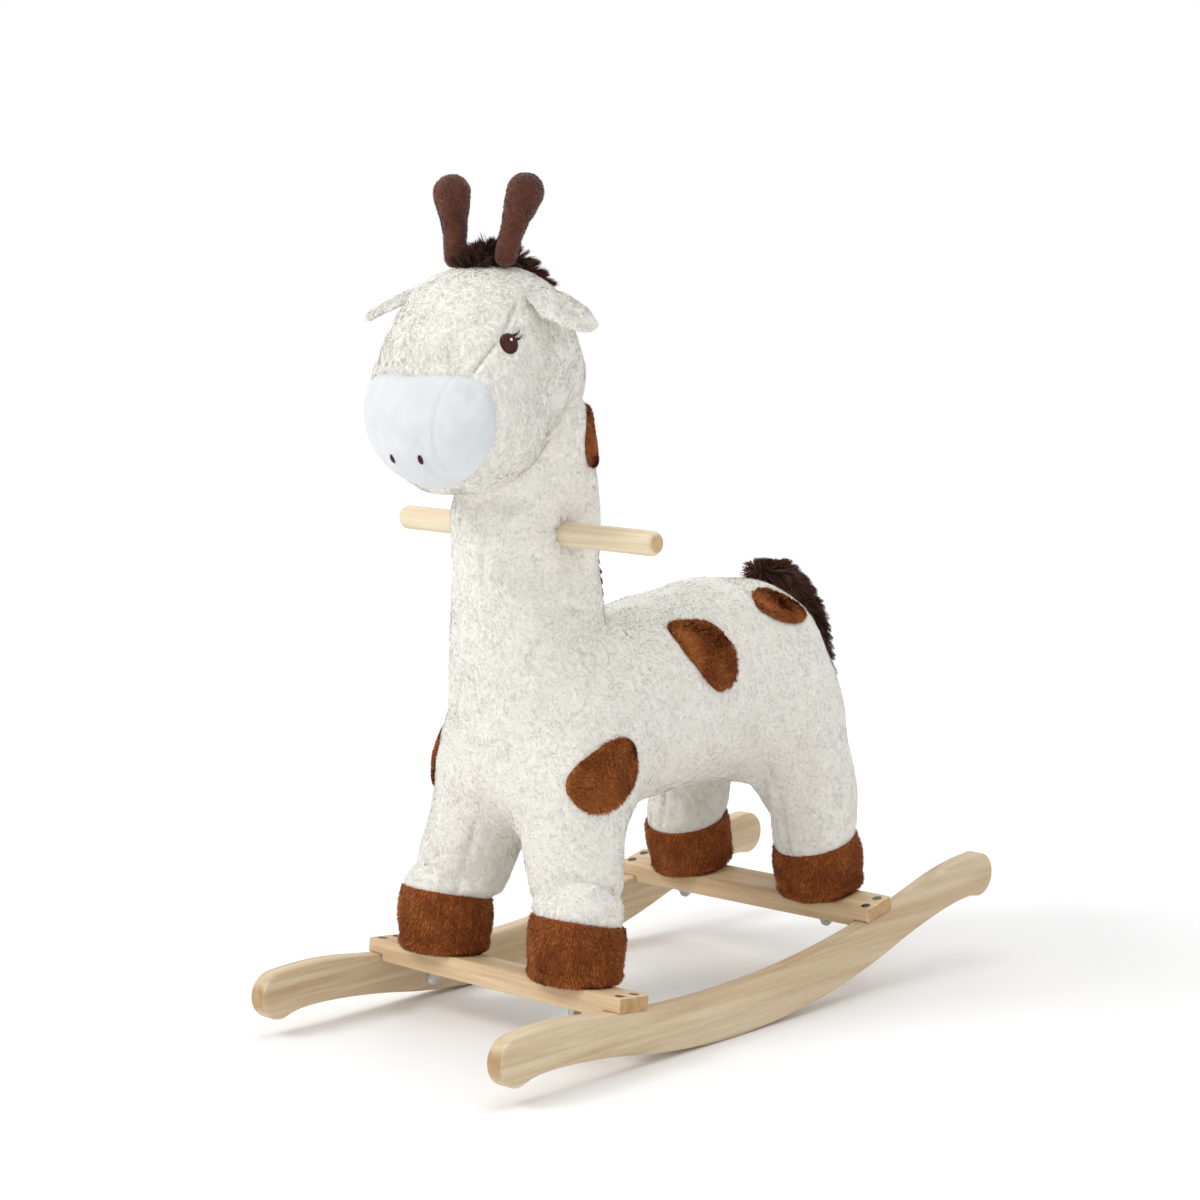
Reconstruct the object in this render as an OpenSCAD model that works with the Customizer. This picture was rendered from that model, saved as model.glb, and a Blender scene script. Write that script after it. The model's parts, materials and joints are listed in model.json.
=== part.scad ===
// Plush giraffe rocker for a toddler: a stuffed animal on an inner wooden frame,
// screwed through two crossbars to a pair of curved wooden rockers.
// The animal faces -Y and its left side is +X. Everything is drawn with the rockers
// level and symmetrical about Y = 0, then rolled forward by rest_pitch so that the toy
// stands on Z = 0 as its nose-heavy balance leaves it.

/* [Rockers] */
// Overall width across the outer faces of the two rockers
overall_w = 280; // [270:1:300]
// Thickness of each rocker board
rocker_t = 16; // [14:1:20]
// Radius of the rocker's sole
sole_radius = 660; // [640:5:700]
// Radius of the rocker's top edge
top_radius = 990; // [950:5:1050]
// Height of the rocker band at mid length
band_h = 41.5; // [38:0.5:44]
// Distance from mid length to the centre of each rounded rocker end
nose_y = 289; // [285:1:292]
// Radius of each rounded rocker end
nose_r = 19; // [18:1:21]
// Angle by which the toy leans forward at rest
rest_pitch = 4.3; // [3:0.1:6]

/* [Crossbars] */
// Width of a crossbar along the toy
bar_w = 33; // [32:1:38]
// Thickness of a crossbar between the rockers
bar_t = 17.5; // [16:0.5:20]
// Thickness of a crossbar's rebated end, where it lies on a rocker
bar_end_t = 11.7; // [11:0.1:14]
// Mid length to the middle of the front crossbar
front_bar_y = 166; // [160:1:169]
// Mid length to the middle of the rear crossbar
rear_bar_y = 143; // [138:1:150]
// Distance between the two screws at each crossbar end
screw_gap = 16; // [14:1:20]

/* [Inner frame] */
// Centre of the toy to the studs under the legs
stud_x = 80; // [76:1:82]
// Diameter of the studs under the legs
stud_d = 6; // [5:0.5:6]
// Diameter of the round leg posts
post_d = 26; // [22:1:28]
// Inward lean of the leg posts
post_splay = 11; // [9:1:12]
// Height of the cross blocks' undersides above the ground
block_z = 205; // [200:1:210]
// Thickness of the plywood neck board
neck_board_t = 18; // [15:1:20]

/* [Handle] */
// Diameter of the handle dowel
handle_d = 19.5; // [18:0.5:22]
// Length of the handle dowel
handle_l = 277; // [260:1:290]
// Height of the handle above the ground
handle_z = 407.5; // [400:0.5:412]
// Angle by which the handle's left end hangs below its right end
handle_tilt = 1; // [0:0.5:1.5]

/* [Plush] */
// Thickness of the plush cover
cover_t = 3; // [2:0.5:3]
// How far the sewn-on patches stand proud of the cover
patch_t = 2; // [1.5:0.5:3]
// Radius of a leg where the hoof is sewn on
leg_r = 37.5; // [36:0.5:38.5]
// Centre of the toy to the middle of each hoof
hoof_x = 73; // [71:1:77]
// Height of a hoof cuff
hoof_h = 47; // [44:1:54]
// Angle by which the head is turned to its left
head_turn = 4; // [0:1:6]

/* [Hidden] */

fine = 96;
facets = 20;
nose_z = 33.5 + nose_r;
// Angle of one flat of the sole: the middle of the second flat is under the toy at rest
sole_step = 2 * rest_pitch / 3;
top_centre_z = band_h + top_radius;
bar_seat = bar_w * bar_w / (8 * top_radius);
handle_y = -112;
hoof_back = 6;
head_turn_y = -118;

// ---------- Helpers ----------

// Rolls the level toy forward onto its resting point on the ground
module rest()
    translate([0, nose_z * sin(rest_pitch), sole_radius * (cos(sole_step / 2) - cos(rest_pitch))])
        rotate([rest_pitch, 0, 0]) children();

// Height of the rocker's top edge at a distance along the toy
function top_z(y) = top_centre_z - sqrt(top_radius * top_radius - y * y);

// Places children on the crossbar seat at y, with +Z square to the rocker's top edge
module on_seat(y)
    translate([0, y, top_z(y) + bar_seat]) rotate([asin(y / top_radius), 0, 0]) children();

// Level-frame position of a point given in the frame of the seat at y
function seat_point(y, p) =
    let (a = asin(y / top_radius))
    [p[0], y + p[1] * cos(a) - p[2] * sin(a), top_z(y) + bar_seat + p[1] * sin(a) + p[2] * cos(a)];

function bezier(p, n) = [
    for (i = [0 : n]) let (t = i / n, s = 1 - t)
        s * s * s * p[0] + 3 * s * s * t * p[1] + 3 * s * t * t * p[2] + t * t * t * p[3]];

// Points of a smooth closed curve through p, n to a span
function rounded(p, n) = [
    for (i = [0 : len(p) - 1], k = [0 : n - 1])
        let (m = len(p), t = k / n, a = p[(i + m - 1) % m], b = p[i], c = p[(i + 1) % m], d = p[(i + 2) % m])
        (2 * b + t * (c - a) + t * t * (2 * a - 5 * b + 4 * c - d)
            + t * t * t * (3 * b - a - 3 * c + d)) / 2];

// One stuffed lump: a centre and three half widths, grown all round by grow
module lump(b, grow)
    translate(b[0]) scale(b[1] + grow * [1, 1, 1]) sphere(1, $fn = facets);

// A skin stretched over each neighbouring pair of lumps
module chain(lumps, grow = 0)
    for (i = [0 : len(lumps) - 2])
        hull() { lump(lumps[i], grow); lump(lumps[i + 1], grow); }

// ---------- Rockers ----------

sole_flats = 5;
nose_start = -110;
top_end = 215;
curve_steps = 8;

// The sole's flats follow one circle, and past top_end the top edge bends up into the nose
function half_outline() =
    let (sole = [for (i = [0 : sole_flats]) sole_radius * [sin(i * sole_step), 1 - cos(i * sole_step)]],
         last = sole[sole_flats],
         slope = [cos(sole_flats * sole_step), sin(sole_flats * sole_step)],
         under_end = [nose_y + nose_r * cos(nose_start), nose_z + nose_r * sin(nose_start)],
         under_slope = [-sin(nose_start), cos(nose_start)],
         under = bezier([last, last + 32 * slope, under_end - 20 * under_slope, under_end], curve_steps),
         nose = [for (a = [nose_start + 10 : 10 : 80]) [nose_y + nose_r * cos(a), nose_z + nose_r * sin(a)]],
         nose_top = [nose_y, nose_z + nose_r],
         over = bezier([nose_top, nose_top - [27, -0.5], [240, top_z(240) - 1], [top_end, top_z(top_end)]],
                       curve_steps),
         top = [for (i = [9 : -1 : 0]) let (y = top_end * i / 10) [y, top_z(y)]])
    concat(sole, [for (i = [1 : curve_steps]) under[i]], nose, over, top);

module rocker_outline() {
    half = half_outline();
    polygon(concat(half, [for (i = [len(half) - 2 : -1 : 1]) [-half[i][0], half[i][1]]]));
}

// A rocker board lying in X from 0 to rocker_t, drilled for the crossbar screws
module rocker_board()
    difference() {
        rotate([90, 0, 90]) linear_extrude(rocker_t) rocker_outline();
        for (y = [-front_bar_y, rear_bar_y], s = [-1, 1])
            on_seat(y) translate([rocker_t / 2, s * screw_gap / 2, -screw_l])
                cylinder(d = screw_d + 0.1, h = screw_l + 10, $fn = fine);
    }

module left_rocker()
    color("burlywood") rest() translate([overall_w / 2 - rocker_t, 0, 0]) rocker_board();

module right_rocker()
    color("burlywood") rest() translate([-overall_w / 2, 0, 0]) rocker_board();

// ---------- Crossbars ----------

screw_d = 4;
screw_head_d = 8;
screw_l = 24;
stud_clearance = 0.6;

// Repeats children at the two screws of each end of a crossbar
module at_bar_screws()
    for (side = [-1, 1], s = [-1, 1])
        translate([side * (overall_w - rocker_t) / 2, s * screw_gap / 2, bar_end_t]) children();

head_sink = 0.5;
head_gap = 0.2;

// A countersunk screw, or its hole, with the face of its head at Z = 0
module countersunk(d, head_d, l) {
    translate([0, 0, -l]) cylinder(d = d, h = l, $fn = fine);
    rotate_extrude($fn = fine)
        polygon([[0, 0], [head_d / 2, 0], [d / 2, -(head_d - d) / 2], [0, -(head_d - d) / 2]]);
}

// The clearance hole for a screw whose head lies head_sink below the face at Z = 0
module countersunk_hole(d, head_d, l) {
    translate([0, 0, 0.05 - head_sink]) countersunk(d + 2 * head_gap, head_d + 2 * head_gap, l);
    translate([0, 0, -head_sink]) cylinder(d = head_d + 2 * head_gap, h = head_sink + 1, $fn = fine);
}

// A bar lapped over both rockers, thicker between them, drilled for its screws and studs
module crossbar(y) {
    inner_w = overall_w - 2 * rocker_t - 1;
    on_seat(y) difference() {
        union() {
            translate([-overall_w / 2, -bar_w / 2, 0]) cube([overall_w, bar_w, bar_end_t]);
            translate([-inner_w / 2, -bar_w / 2, bar_end_t - bar_t]) cube([inner_w, bar_w, bar_t]);
        }
        at_bar_screws() countersunk_hole(screw_d, screw_head_d, bar_end_t + 1);
        for (side = [-1, 1])
            translate([side * stud_x, 0, -bar_t])
                cylinder(d = stud_d + stud_clearance, h = 2 * bar_t, $fn = fine);
    }
}

module bar_screws(y)
    on_seat(y) at_bar_screws() translate([0, 0, -head_sink])
        countersunk(screw_d, screw_head_d, bar_end_t + screw_l - 4);

module front_crossbar() color("wheat") rest() crossbar(-front_bar_y);
module rear_crossbar() color("wheat") rest() crossbar(rear_bar_y);
module front_crossbar_screws() color("dimgray") rest() bar_screws(-front_bar_y);
module rear_crossbar_screws() color("dimgray") rest() bar_screws(rear_bar_y);

// ---------- Leg posts and their fixings ----------

stud_grip = 40;
washer_t = 1.6;
nut_h = 12;

module at_studs()
    for (y = [-front_bar_y, rear_bar_y], side = [-1, 1])
        on_seat(y) translate([side * stud_x, 0, 0]) children();

// A round post from the crossbar's face up to the cross block, leaning inwards
module leg_post(y, side)
    rest() difference() {
        on_seat(y) translate([side * stud_x, 0, bar_end_t]) rotate([0, -side * post_splay, 0])
            translate([0, 0, -30]) cylinder(d = post_d, h = 230, $fn = fine);
        on_seat(y) translate([-200, -60, bar_end_t - 100]) cube([400, 120, 100]);
        translate([-200, -300, block_z]) cube([400, 600, 100]);
        on_seat(y) translate([side * stud_x, 0, 0])
            cylinder(d = stud_d + 0.1, h = bar_end_t + stud_grip + 1, $fn = fine);
        translate([side * post_screw_x, post_top(y, side)[1], block_z - post_screw_grip - 1])
            cylinder(d = post_screw_d + 0.1, h = post_screw_grip + 2, $fn = fine);
    }

// Middle of a post's top end
function post_top(y, side) =
    let (a = asin(y / top_radius), base = seat_point(y, [side * stud_x, 0, bar_end_t]),
         up = (block_z - base[2]) / (cos(post_splay) * cos(a)))
    base + up * [-side * sin(post_splay), -cos(post_splay) * sin(a), cos(post_splay) * cos(a)];

module front_left_leg_post() color("tan") leg_post(-front_bar_y, 1);
module front_right_leg_post() color("tan") leg_post(-front_bar_y, -1);
module rear_left_leg_post() color("tan") leg_post(rear_bar_y, 1);
module rear_right_leg_post() color("tan") leg_post(rear_bar_y, -1);

module leg_studs()
    color("silver") rest() at_studs()
        translate([0, 0, bar_end_t - bar_t - washer_t - nut_h + 4])
            cylinder(d = stud_d, h = bar_t + washer_t + nut_h - 4 + stud_grip, $fn = fine);

module stud_washers()
    color("silver") rest() at_studs()
        translate([0, 0, bar_end_t - bar_t - washer_t]) difference() {
            cylinder(d = 14, h = washer_t, $fn = fine);
            translate([0, 0, -1]) cylinder(d = stud_d + 0.4, h = 4, $fn = fine);
        }

module stud_cap_nuts()
    color("silver") rest() at_studs()
        translate([0, 0, bar_end_t - bar_t - washer_t]) mirror([0, 0, 1]) difference() {
            union() {
                cylinder(d = 11.5, h = 6, $fn = 6);
                translate([0, 0, 6]) cylinder(d = 9.6, h = nut_h - 6 - 3, $fn = fine);
                translate([0, 0, nut_h - 4.8 - 0.2]) intersection() {
                    sphere(d = 9.6, $fn = fine);
                    translate([0, 0, 2]) cylinder(d = 10, h = 6, $fn = fine);
                }
            }
            translate([0, 0, -1]) cylinder(d = stud_d + 0.05, h = nut_h - 4 + 1.2, $fn = fine);
        }

// ---------- Inner frame ----------

block_h = 30;
block_l = 36;
block_w = 124;
block_chamfer = 14.5;
block_shift = 8;
spine_t = 15;
spine_w = 60;
spine_z = block_z + block_h;
neck_board_l = 70;
neck_board_h = 215;
neck_foot_z = spine_z + spine_t;
post_screw_d = 5;
post_screw_grip = 30;
hex_d = 9.2;
hex_h = 4;
spine_screw_x = 18;
spine_screw_l = 35;
spine_head_d = 10;
bracket_t = 2.5;
bracket_w = 30;
bracket_leg = 20;
bracket_h = 60;
bracket_screw_d = 4;
bracket_screw_l = 12;
post_screw_x = post_top(-front_bar_y, 1)[0];
// The shoulder block sits a little behind its posts, clear of the chest
front_block_y = post_top(-front_bar_y, 1)[1] + block_shift;
rear_block_y = post_top(rear_bar_y, 1)[1];

// A cross block from above, its front corners cut off so that they stay inside the plush
module block_outline() {
    w = block_w / 2;
    l = block_l / 2;
    polygon([[-w, l], [w, l], [w, block_chamfer - l], [w - block_chamfer, -l],
             [block_chamfer - w, -l], [-w, block_chamfer - l]]);
}

// A cross block at y over the two posts of the crossbar at bar_y
module cross_block(y, bar_y)
    rest() difference() {
        translate([0, y, block_z]) linear_extrude(block_h) block_outline();
        for (side = [-1, 1]) {
            translate([side * post_screw_x, post_top(bar_y, 1)[1], block_z - 1])
                cylinder(d = post_screw_d + 0.4, h = block_h + 2, $fn = fine);
            translate([side * spine_screw_x, y, spine_z - spine_screw_l])
                cylinder(d = post_screw_d + 0.1, h = spine_screw_l + 1, $fn = fine);
        }
    }
module shoulder_block() color("tan") cross_block(front_block_y, -front_bar_y);
module hip_block() color("tan") cross_block(rear_block_y, rear_bar_y);

module at_spine_screws()
    for (y = [front_block_y, rear_block_y], side = [-1, 1])
        translate([side * spine_screw_x, y, neck_foot_z]) children();

module spine_board()
    color("peru") rest() difference() {
        translate([-spine_w / 2, front_block_y - 22, spine_z])
            cube([spine_w, rear_block_y - front_block_y + 44, spine_t]);
        at_spine_screws() countersunk_hole(post_screw_d, spine_head_d, spine_t + 1);
        for (side = [-1, 1])
            translate([side * bracket_screw_x, handle_y, neck_foot_z - bracket_screw_l])
                cylinder(d = bracket_screw_d + 0.1, h = bracket_screw_l + 1, $fn = fine);
    }

module spine_screws()
    color("dimgray") rest() at_spine_screws()
        translate([0, 0, -head_sink]) countersunk(post_screw_d, spine_head_d, spine_t + block_h - 2);

// Hex screws down through the cross blocks into the leg posts
module post_screws()
    color("dimgray") rest()
        for (y = [-front_bar_y, rear_bar_y], side = [-1, 1])
            translate([side * post_screw_x, post_top(y, side)[1], spine_z]) {
                cylinder(d = hex_d, h = hex_h, $fn = 6);
                translate([0, 0, -block_h - post_screw_grip])
                    cylinder(d = post_screw_d, h = block_h + post_screw_grip + 1, $fn = fine);
            }

handle_screw_d = 4;
handle_screw_l = 42;
handle_bore_d = handle_d + 0.2;

// Places children at the middle of the handle, with +Z towards its left end
module at_handle()
    translate([0, handle_y, handle_z]) rotate([0, 90 + handle_tilt, 0]) children();

module neck_board()
    color("peru") rest() difference() {
        translate([-neck_board_t / 2, handle_y - neck_board_l / 2, neck_foot_z])
            cube([neck_board_t, neck_board_l, neck_board_h]);
        at_handle() cylinder(d = handle_bore_d, h = 2 * neck_board_t, center = true, $fn = fine);
        translate([0, handle_y - neck_board_l / 2 - 1, handle_z]) rotate([-90, 0, 0])
            cylinder(d = handle_screw_d + 0.1, h = neck_board_l / 2, $fn = fine);
        for (side = [-1, 1])
            translate([side * neck_board_t / 2, handle_y, bracket_screw_z(side)])
                rotate([0, -side * 90, 0])
                    translate([0, 0, -1])
                        cylinder(d = bracket_screw_d + 0.1, h = bracket_screw_l + 1.5, $fn = fine);
    }

bracket_screw_x = neck_board_t / 2 + bracket_t + 10;
function bracket_screw_z(side) = neck_foot_z + 38 + side * 7;

module neck_bracket(side)
    rest() difference() {
        translate([side * neck_board_t / 2, handle_y, neck_foot_z]) scale([side, 1, 1])
            translate([0, -bracket_w / 2, 0]) {
                cube([bracket_t, bracket_w, bracket_h]);
                cube([bracket_leg, bracket_w, bracket_t]);
            }
        translate([side * bracket_screw_x, handle_y, neck_foot_z - 1])
            cylinder(d = bracket_screw_d + 0.5, h = bracket_t + 2, $fn = fine);
        translate([-50, handle_y, bracket_screw_z(side)]) rotate([0, 90, 0])
            cylinder(d = bracket_screw_d + 0.5, h = 100, $fn = fine);
    }
module left_neck_bracket() color("silver") neck_bracket(1);
module right_neck_bracket() color("silver") neck_bracket(-1);

module pan_screw(d, l) {
    translate([0, 0, -l]) cylinder(d = d, h = l + 0.5, $fn = fine);
    cylinder(d = 2 * d, h = 0.6 * d, $fn = fine);
}

module bracket_screws()
    color("dimgray") rest()
        for (side = [-1, 1]) {
            translate([side * bracket_screw_x, handle_y, neck_foot_z + bracket_t])
                pan_screw(bracket_screw_d, bracket_screw_l + 1);
            translate([side * (neck_board_t / 2 + bracket_t), handle_y, bracket_screw_z(side)])
                rotate([0, side * 90, 0]) pan_screw(bracket_screw_d, bracket_screw_l + 1);
        }

// ---------- Handle ----------

handle_round = 7;

module handle_dowel()
    color("wheat") rest() at_handle() difference() {
        rotate_extrude($fn = fine) {
            r = handle_d / 2;
            end = handle_l / 2;
            polygon(concat([[0, -end]],
                [for (a = [-90 : 15 : 0]) [r, -end] + handle_round * [cos(a) - 1, sin(a) + 1]],
                [for (a = [0 : 15 : 90]) [r, end] + handle_round * [cos(a) - 1, sin(a) - 1]],
                [[0, end]]));
        }
        rotate([90, 0, 0]) translate([0, 0, -7]) cylinder(d = handle_screw_d + 0.1, h = 40, $fn = fine);
    }

module handle_screw()
    color("dimgray") rest() translate([0, handle_y - neck_board_l / 2, handle_z]) rotate([90, 0, 0])
        pan_screw(handle_screw_d, handle_screw_l - 2);

// ---------- Plush shapes ----------

torso = [
    [[0, -92, 244], [82, 66, 82]],
    [[0, -40, 245], [86, 70, 82]],
    [[0, 30, 248], [87, 70, 85.5]],
    [[0, 90, 249], [87, 70, 87.5]],
    [[0, 138, 244], [84, 68, 85]]];

neck = [
    [[0, -98, 248], [82, 74, 78]],
    [[0, -113, 320], [58, 68, 50]],
    [[0, -113, 380], [52, 66, 40]],
    [[0, -111, 440], [53, 64, 40]],
    [[0, -120, 490], [58, 62, 46]]];

function leg(y, knee, hip) = [
    [seat_point(y, [hoof_x, hoof_back, 20]), leg_r * [1, 1, 1]],
    [seat_point(y, [hoof_x, hoof_back, bar_end_t + hoof_h]), leg_r * [1, 1, 1]],
    knee, hip];

front_leg = leg(-front_bar_y, [[63, -143, 130], [37, 38, 40]], [[45, -120, 200], [44, 50, 46]]);
rear_leg = leg(rear_bar_y, [[70, 146, 135], [37, 38, 40]], [[52, 138, 205], [45, 50, 48]]);

head = [
    [[0, -150, 566], [68, 66, 49]],
    [[0, -158, 540], [75, 76, 58]],
    [[0, -178, 500], [67, 68, 54]]];

nape = [
    [[0, -146, 560], [66, 64, 50]],
    [[0, -126, 524], [66, 62, 50]]];

module both_sides() { children(); mirror([1, 0, 0]) children(); }

// Turns the head a little to the animal's left about the neck
module on_head()
    translate([0, head_turn_y, 0]) rotate([0, 0, head_turn]) translate([0, -head_turn_y, 0]) children();

module body_shape(grow = 0) {
    chain(torso, grow);
    chain(neck, grow);
    both_sides() { chain(front_leg, grow); chain(rear_leg, grow); }
}

module head_shape(grow = 0)
    on_head() {
        chain(head, grow);
        chain(nape, grow);
        hull() { lump(nape[1], grow); lump(head[2], grow); }
    }

// Everything of the legs below a height above the crossbars' faces
module below_bars(h)
    for (y = [-front_bar_y, rear_bar_y])
        on_seat(y) translate([-200, -100, -200]) cube([400, 200, 200 + bar_end_t + h]);

// Room that the inner frame takes inside the stuffing
module frame_room() {
    gap = 0.3;
    both_sides() {
        for (y = [-front_bar_y, rear_bar_y]) {
            on_seat(y) translate([stud_x, 0, bar_end_t]) rotate([0, -post_splay, 0])
                translate([0, 0, -30]) cylinder(d = post_d + 2 * gap, h = 180, $fn = facets);
            translate([post_screw_x, post_top(y, 1)[1], block_z])
                cylinder(d = hex_d + 2, h = block_h + hex_h + 1, $fn = facets);
        }
        translate([0, handle_y - bracket_w / 2 - gap, neck_foot_z])
            cube([neck_board_t / 2 + bracket_leg + gap, bracket_w + 2 * gap, bracket_t + 3]);
        translate([0, handle_y - bracket_w / 2 - gap, neck_foot_z])
            cube([neck_board_t / 2 + bracket_t + 3, bracket_w + 2 * gap, bracket_h + gap]);
    }
    for (y = [front_block_y, rear_block_y])
        translate([0, y, block_z - gap]) linear_extrude(block_h + 2 * gap)
            offset(delta = gap) block_outline();
    translate([-spine_w / 2 - gap, front_block_y - 22 - gap, spine_z - gap])
        cube([spine_w + 2 * gap, rear_block_y - front_block_y + 44 + 2 * gap, spine_t + 2 * gap]);
    translate([-neck_board_t / 2 - gap, handle_y - neck_board_l / 2 - gap, neck_foot_z])
        cube([neck_board_t + 2 * gap, neck_board_l + 2 * gap, neck_board_h + gap]);
    translate([0, handle_y - neck_board_l / 2, handle_z]) rotate([90, 0, 0])
        translate([0, 0, -1]) cylinder(d = 9, h = 4, $fn = facets);
}

// Room that the walls of the hooves take around the stuffing
module hoof_room()
    both_sides()
        for (y = [-front_bar_y, rear_bar_y])
            on_seat(y) translate([hoof_x, hoof_back, bar_end_t]) difference() {
                cylinder(r = leg_r + 10, h = hoof_h + 0.2, $fn = facets);
                translate([0, 0, -1]) cylinder(r = leg_r - cover_t, h = hoof_h + 2, $fn = 2 * facets);
            }

module handle_room()
    at_handle() cylinder(d = handle_d + 0.6, h = 200, center = true, $fn = facets);

// The rounded panel that is sewn in as the muzzle, by its seam in the side view
muzzle_r = 48;
module muzzle_area()
    on_head() rotate([90, 0, 90]) linear_extrude(200, center = true)
        hull() for (z = [430, 494]) translate([-253, z]) circle(muzzle_r, $fn = 48);

module head_shell()
    difference() {
        head_shape();
        head_shape(-cover_t);
        body_shape(-cover_t);
    }

module body_stuffing()
    color("white") rest() difference() {
        body_shape(-cover_t);
        head_shape(-cover_t);
        below_bars(cover_t);
        hoof_room();
        frame_room();
        handle_room();
    }

module body_cover()
    color("ivory") rest() difference() {
        body_shape();
        body_shape(-cover_t);
        head_shape();
        below_bars(hoof_h);
        handle_room();
    }

module head_stuffing()
    color("white") rest() difference() { head_shape(-cover_t); frame_room(); }

module head_cover()
    color("ivory") rest() difference() { head_shell(); muzzle_area(); }

module muzzle_cover()
    color("whitesmoke") rest() intersection() { head_shell(); muzzle_area(); }

// ---------- Hooves ----------

// A plush cuff with a padded sole roll, open above and around the leg post
module hoof(y, side)
    rest() on_seat(y) translate([0, 0, bar_end_t]) difference() {
        translate([side * hoof_x, hoof_back, 0]) rotate_extrude($fn = fine)
            polygon(concat(
                [[0, 0]],
                [for (a = [-90 : 15 : 0]) [30 + 8.5 * cos(a), 8.5 + 8.5 * sin(a)]],
                [[38.8, 22], [38.4, 38], [leg_r + 0.3, hoof_h], [leg_r - cover_t + 0.3, hoof_h],
                 [leg_r - cover_t + 0.3, cover_t], [0, cover_t]]));
        translate([side * stud_x, 0, -1]) cylinder(d = post_d + 3, h = 6, $fn = fine);
    }
module front_left_hoof() color("saddlebrown") hoof(-front_bar_y, 1);
module front_right_hoof() color("saddlebrown") hoof(-front_bar_y, -1);
module rear_left_hoof() color("saddlebrown") hoof(rear_bar_y, 1);
module rear_right_hoof() color("saddlebrown") hoof(rear_bar_y, -1);

// ---------- Sewn-on patches ----------

// A plush patch on the left flank, cut to an outline drawn in the side view
module flank_patch(outline)
    color("sienna") rest() intersection() {
        difference() { body_shape(patch_t); body_shape(); head_shape(); }
        rotate([90, 0, 90]) translate([0, 0, 5]) linear_extrude(140) polygon(rounded(outline, 4));
    }

shoulder_outline = [
    [-157, 216], [-148, 235], [-118, 250], [-98, 244], [-98, 219], [-118, 202], [-145, 198]];
back_outline = [
    [-8, 314], [14, 318], [36, 312], [43, 295], [33, 273], [15, 264], [2, 270], [-9, 294]];
rump_outline = [
    [98, 315], [108, 324], [132, 324], [152, 312], [156, 301], [138, 297], [114, 303]];
neck_outline = [
    [-98, 472], [-92, 492], [-76, 504], [-62, 494], [-60, 470], [-74, 456], [-90, 457]];

module left_neck_patch() flank_patch(neck_outline);
module right_neck_patch() mirror([1, 0, 0]) flank_patch(neck_outline);
module left_shoulder_patch() flank_patch(shoulder_outline);
module right_shoulder_patch() mirror([1, 0, 0]) flank_patch(shoulder_outline);
module left_back_patch() flank_patch(back_outline);
module right_back_patch() mirror([1, 0, 0]) flank_patch(back_outline);
module left_rump_patch() flank_patch(rump_outline);
module right_rump_patch() mirror([1, 0, 0]) flank_patch(rump_outline);

// ---------- Face ----------

stitch_t = 1;

// An embroidered oval raised on the head where a line leaves it: from, turned about Z, half sizes
module head_oval(from, turn, size)
    intersection() {
        difference() { head_shape(stitch_t); head_shape(); }
        on_head() translate(from) rotate([0, 0, turn]) rotate([-90, 0, 0])
            scale([size[0], size[1], 1]) cylinder(r = 1, h = 100, $fn = facets);
    }

eye_at = [0, -154, 560];
eye_size = [7, 7.2];
module left_eye() color("black") rest() head_oval(eye_at, -120, eye_size);
module right_eye() color("black") rest() head_oval(eye_at, 120, eye_size);
module nostrils()
    color("black") rest() for (side = [-1, 1]) head_oval([side * 13.5, -178, 479], 180, [1.9, 3.6]);

// ---------- Mane, ears, horns and tail ----------

mane_lumps = [
    [[0, -160, 608], [12, 10, 10]],
    [[0, -138, 618], [12, 12, 12]],
    [[0, -112, 610], [12, 12, 12]],
    [[0, -88, 588], [12, 12, 12]],
    [[0, -72, 560], [11, 11, 11]],
    [[0, -58, 520], [11, 11, 11]],
    [[0, -50, 480], [11, 11, 11]],
    [[0, -46, 440], [11, 11, 11]],
    [[0, -46, 390], [11, 11, 11]],
    [[0, -42, 345], [11, 11, 11]]];
module mane()
    color("maroon") rest() difference() {
        chain(mane_lumps);
        head_shape(0.1);
        body_shape(0.1);
    }

ear_lumps = [
    [[8.5, 0, 0], [3.8, 10.5, 3.8]],
    [[25, 0, 1], [6, 18, 4]],
    [[44, 0, 0], [8, 17, 4]],
    [[60, 0, -2], [6, 9, 4]]];
module ear(droop)
    translate([54.4, -152, 598]) rotate([18, droop, 0]) chain(ear_lumps);
module left_ear() color("ivory") rest() on_head() ear(26);
module right_ear() color("ivory") rest() on_head() mirror([1, 0, 0]) ear(17);

horn_lumps = [
    [[0, 0, 6], [9.5, 9.5, 8]],
    [[2, 3, 22], [9.5, 9.5, 9.5]],
    [[5, 6, 36], [11, 11, 11]],
    [[9, 10, 54], [15, 14.5, 15]]];
module horn(lean)
    translate([25, -146, 616]) rotate([0, lean, 0]) chain(horn_lumps);
module left_horn() color("maroon") rest() on_head() horn(4);
module right_horn() color("maroon") rest() on_head() mirror([1, 0, 0]) horn(0);

tail_lumps = [
    [[0, 168, 331], [12, 8, 7.5]],
    [[0, 196, 319], [18, 15, 15]],
    [[0, 222, 285], [18, 15, 15]],
    [[0, 236, 240], [15, 13, 13]],
    [[0, 236, 205], [10, 9, 9]]];
module tail() color("brown") rest() chain(tail_lumps);

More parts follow.
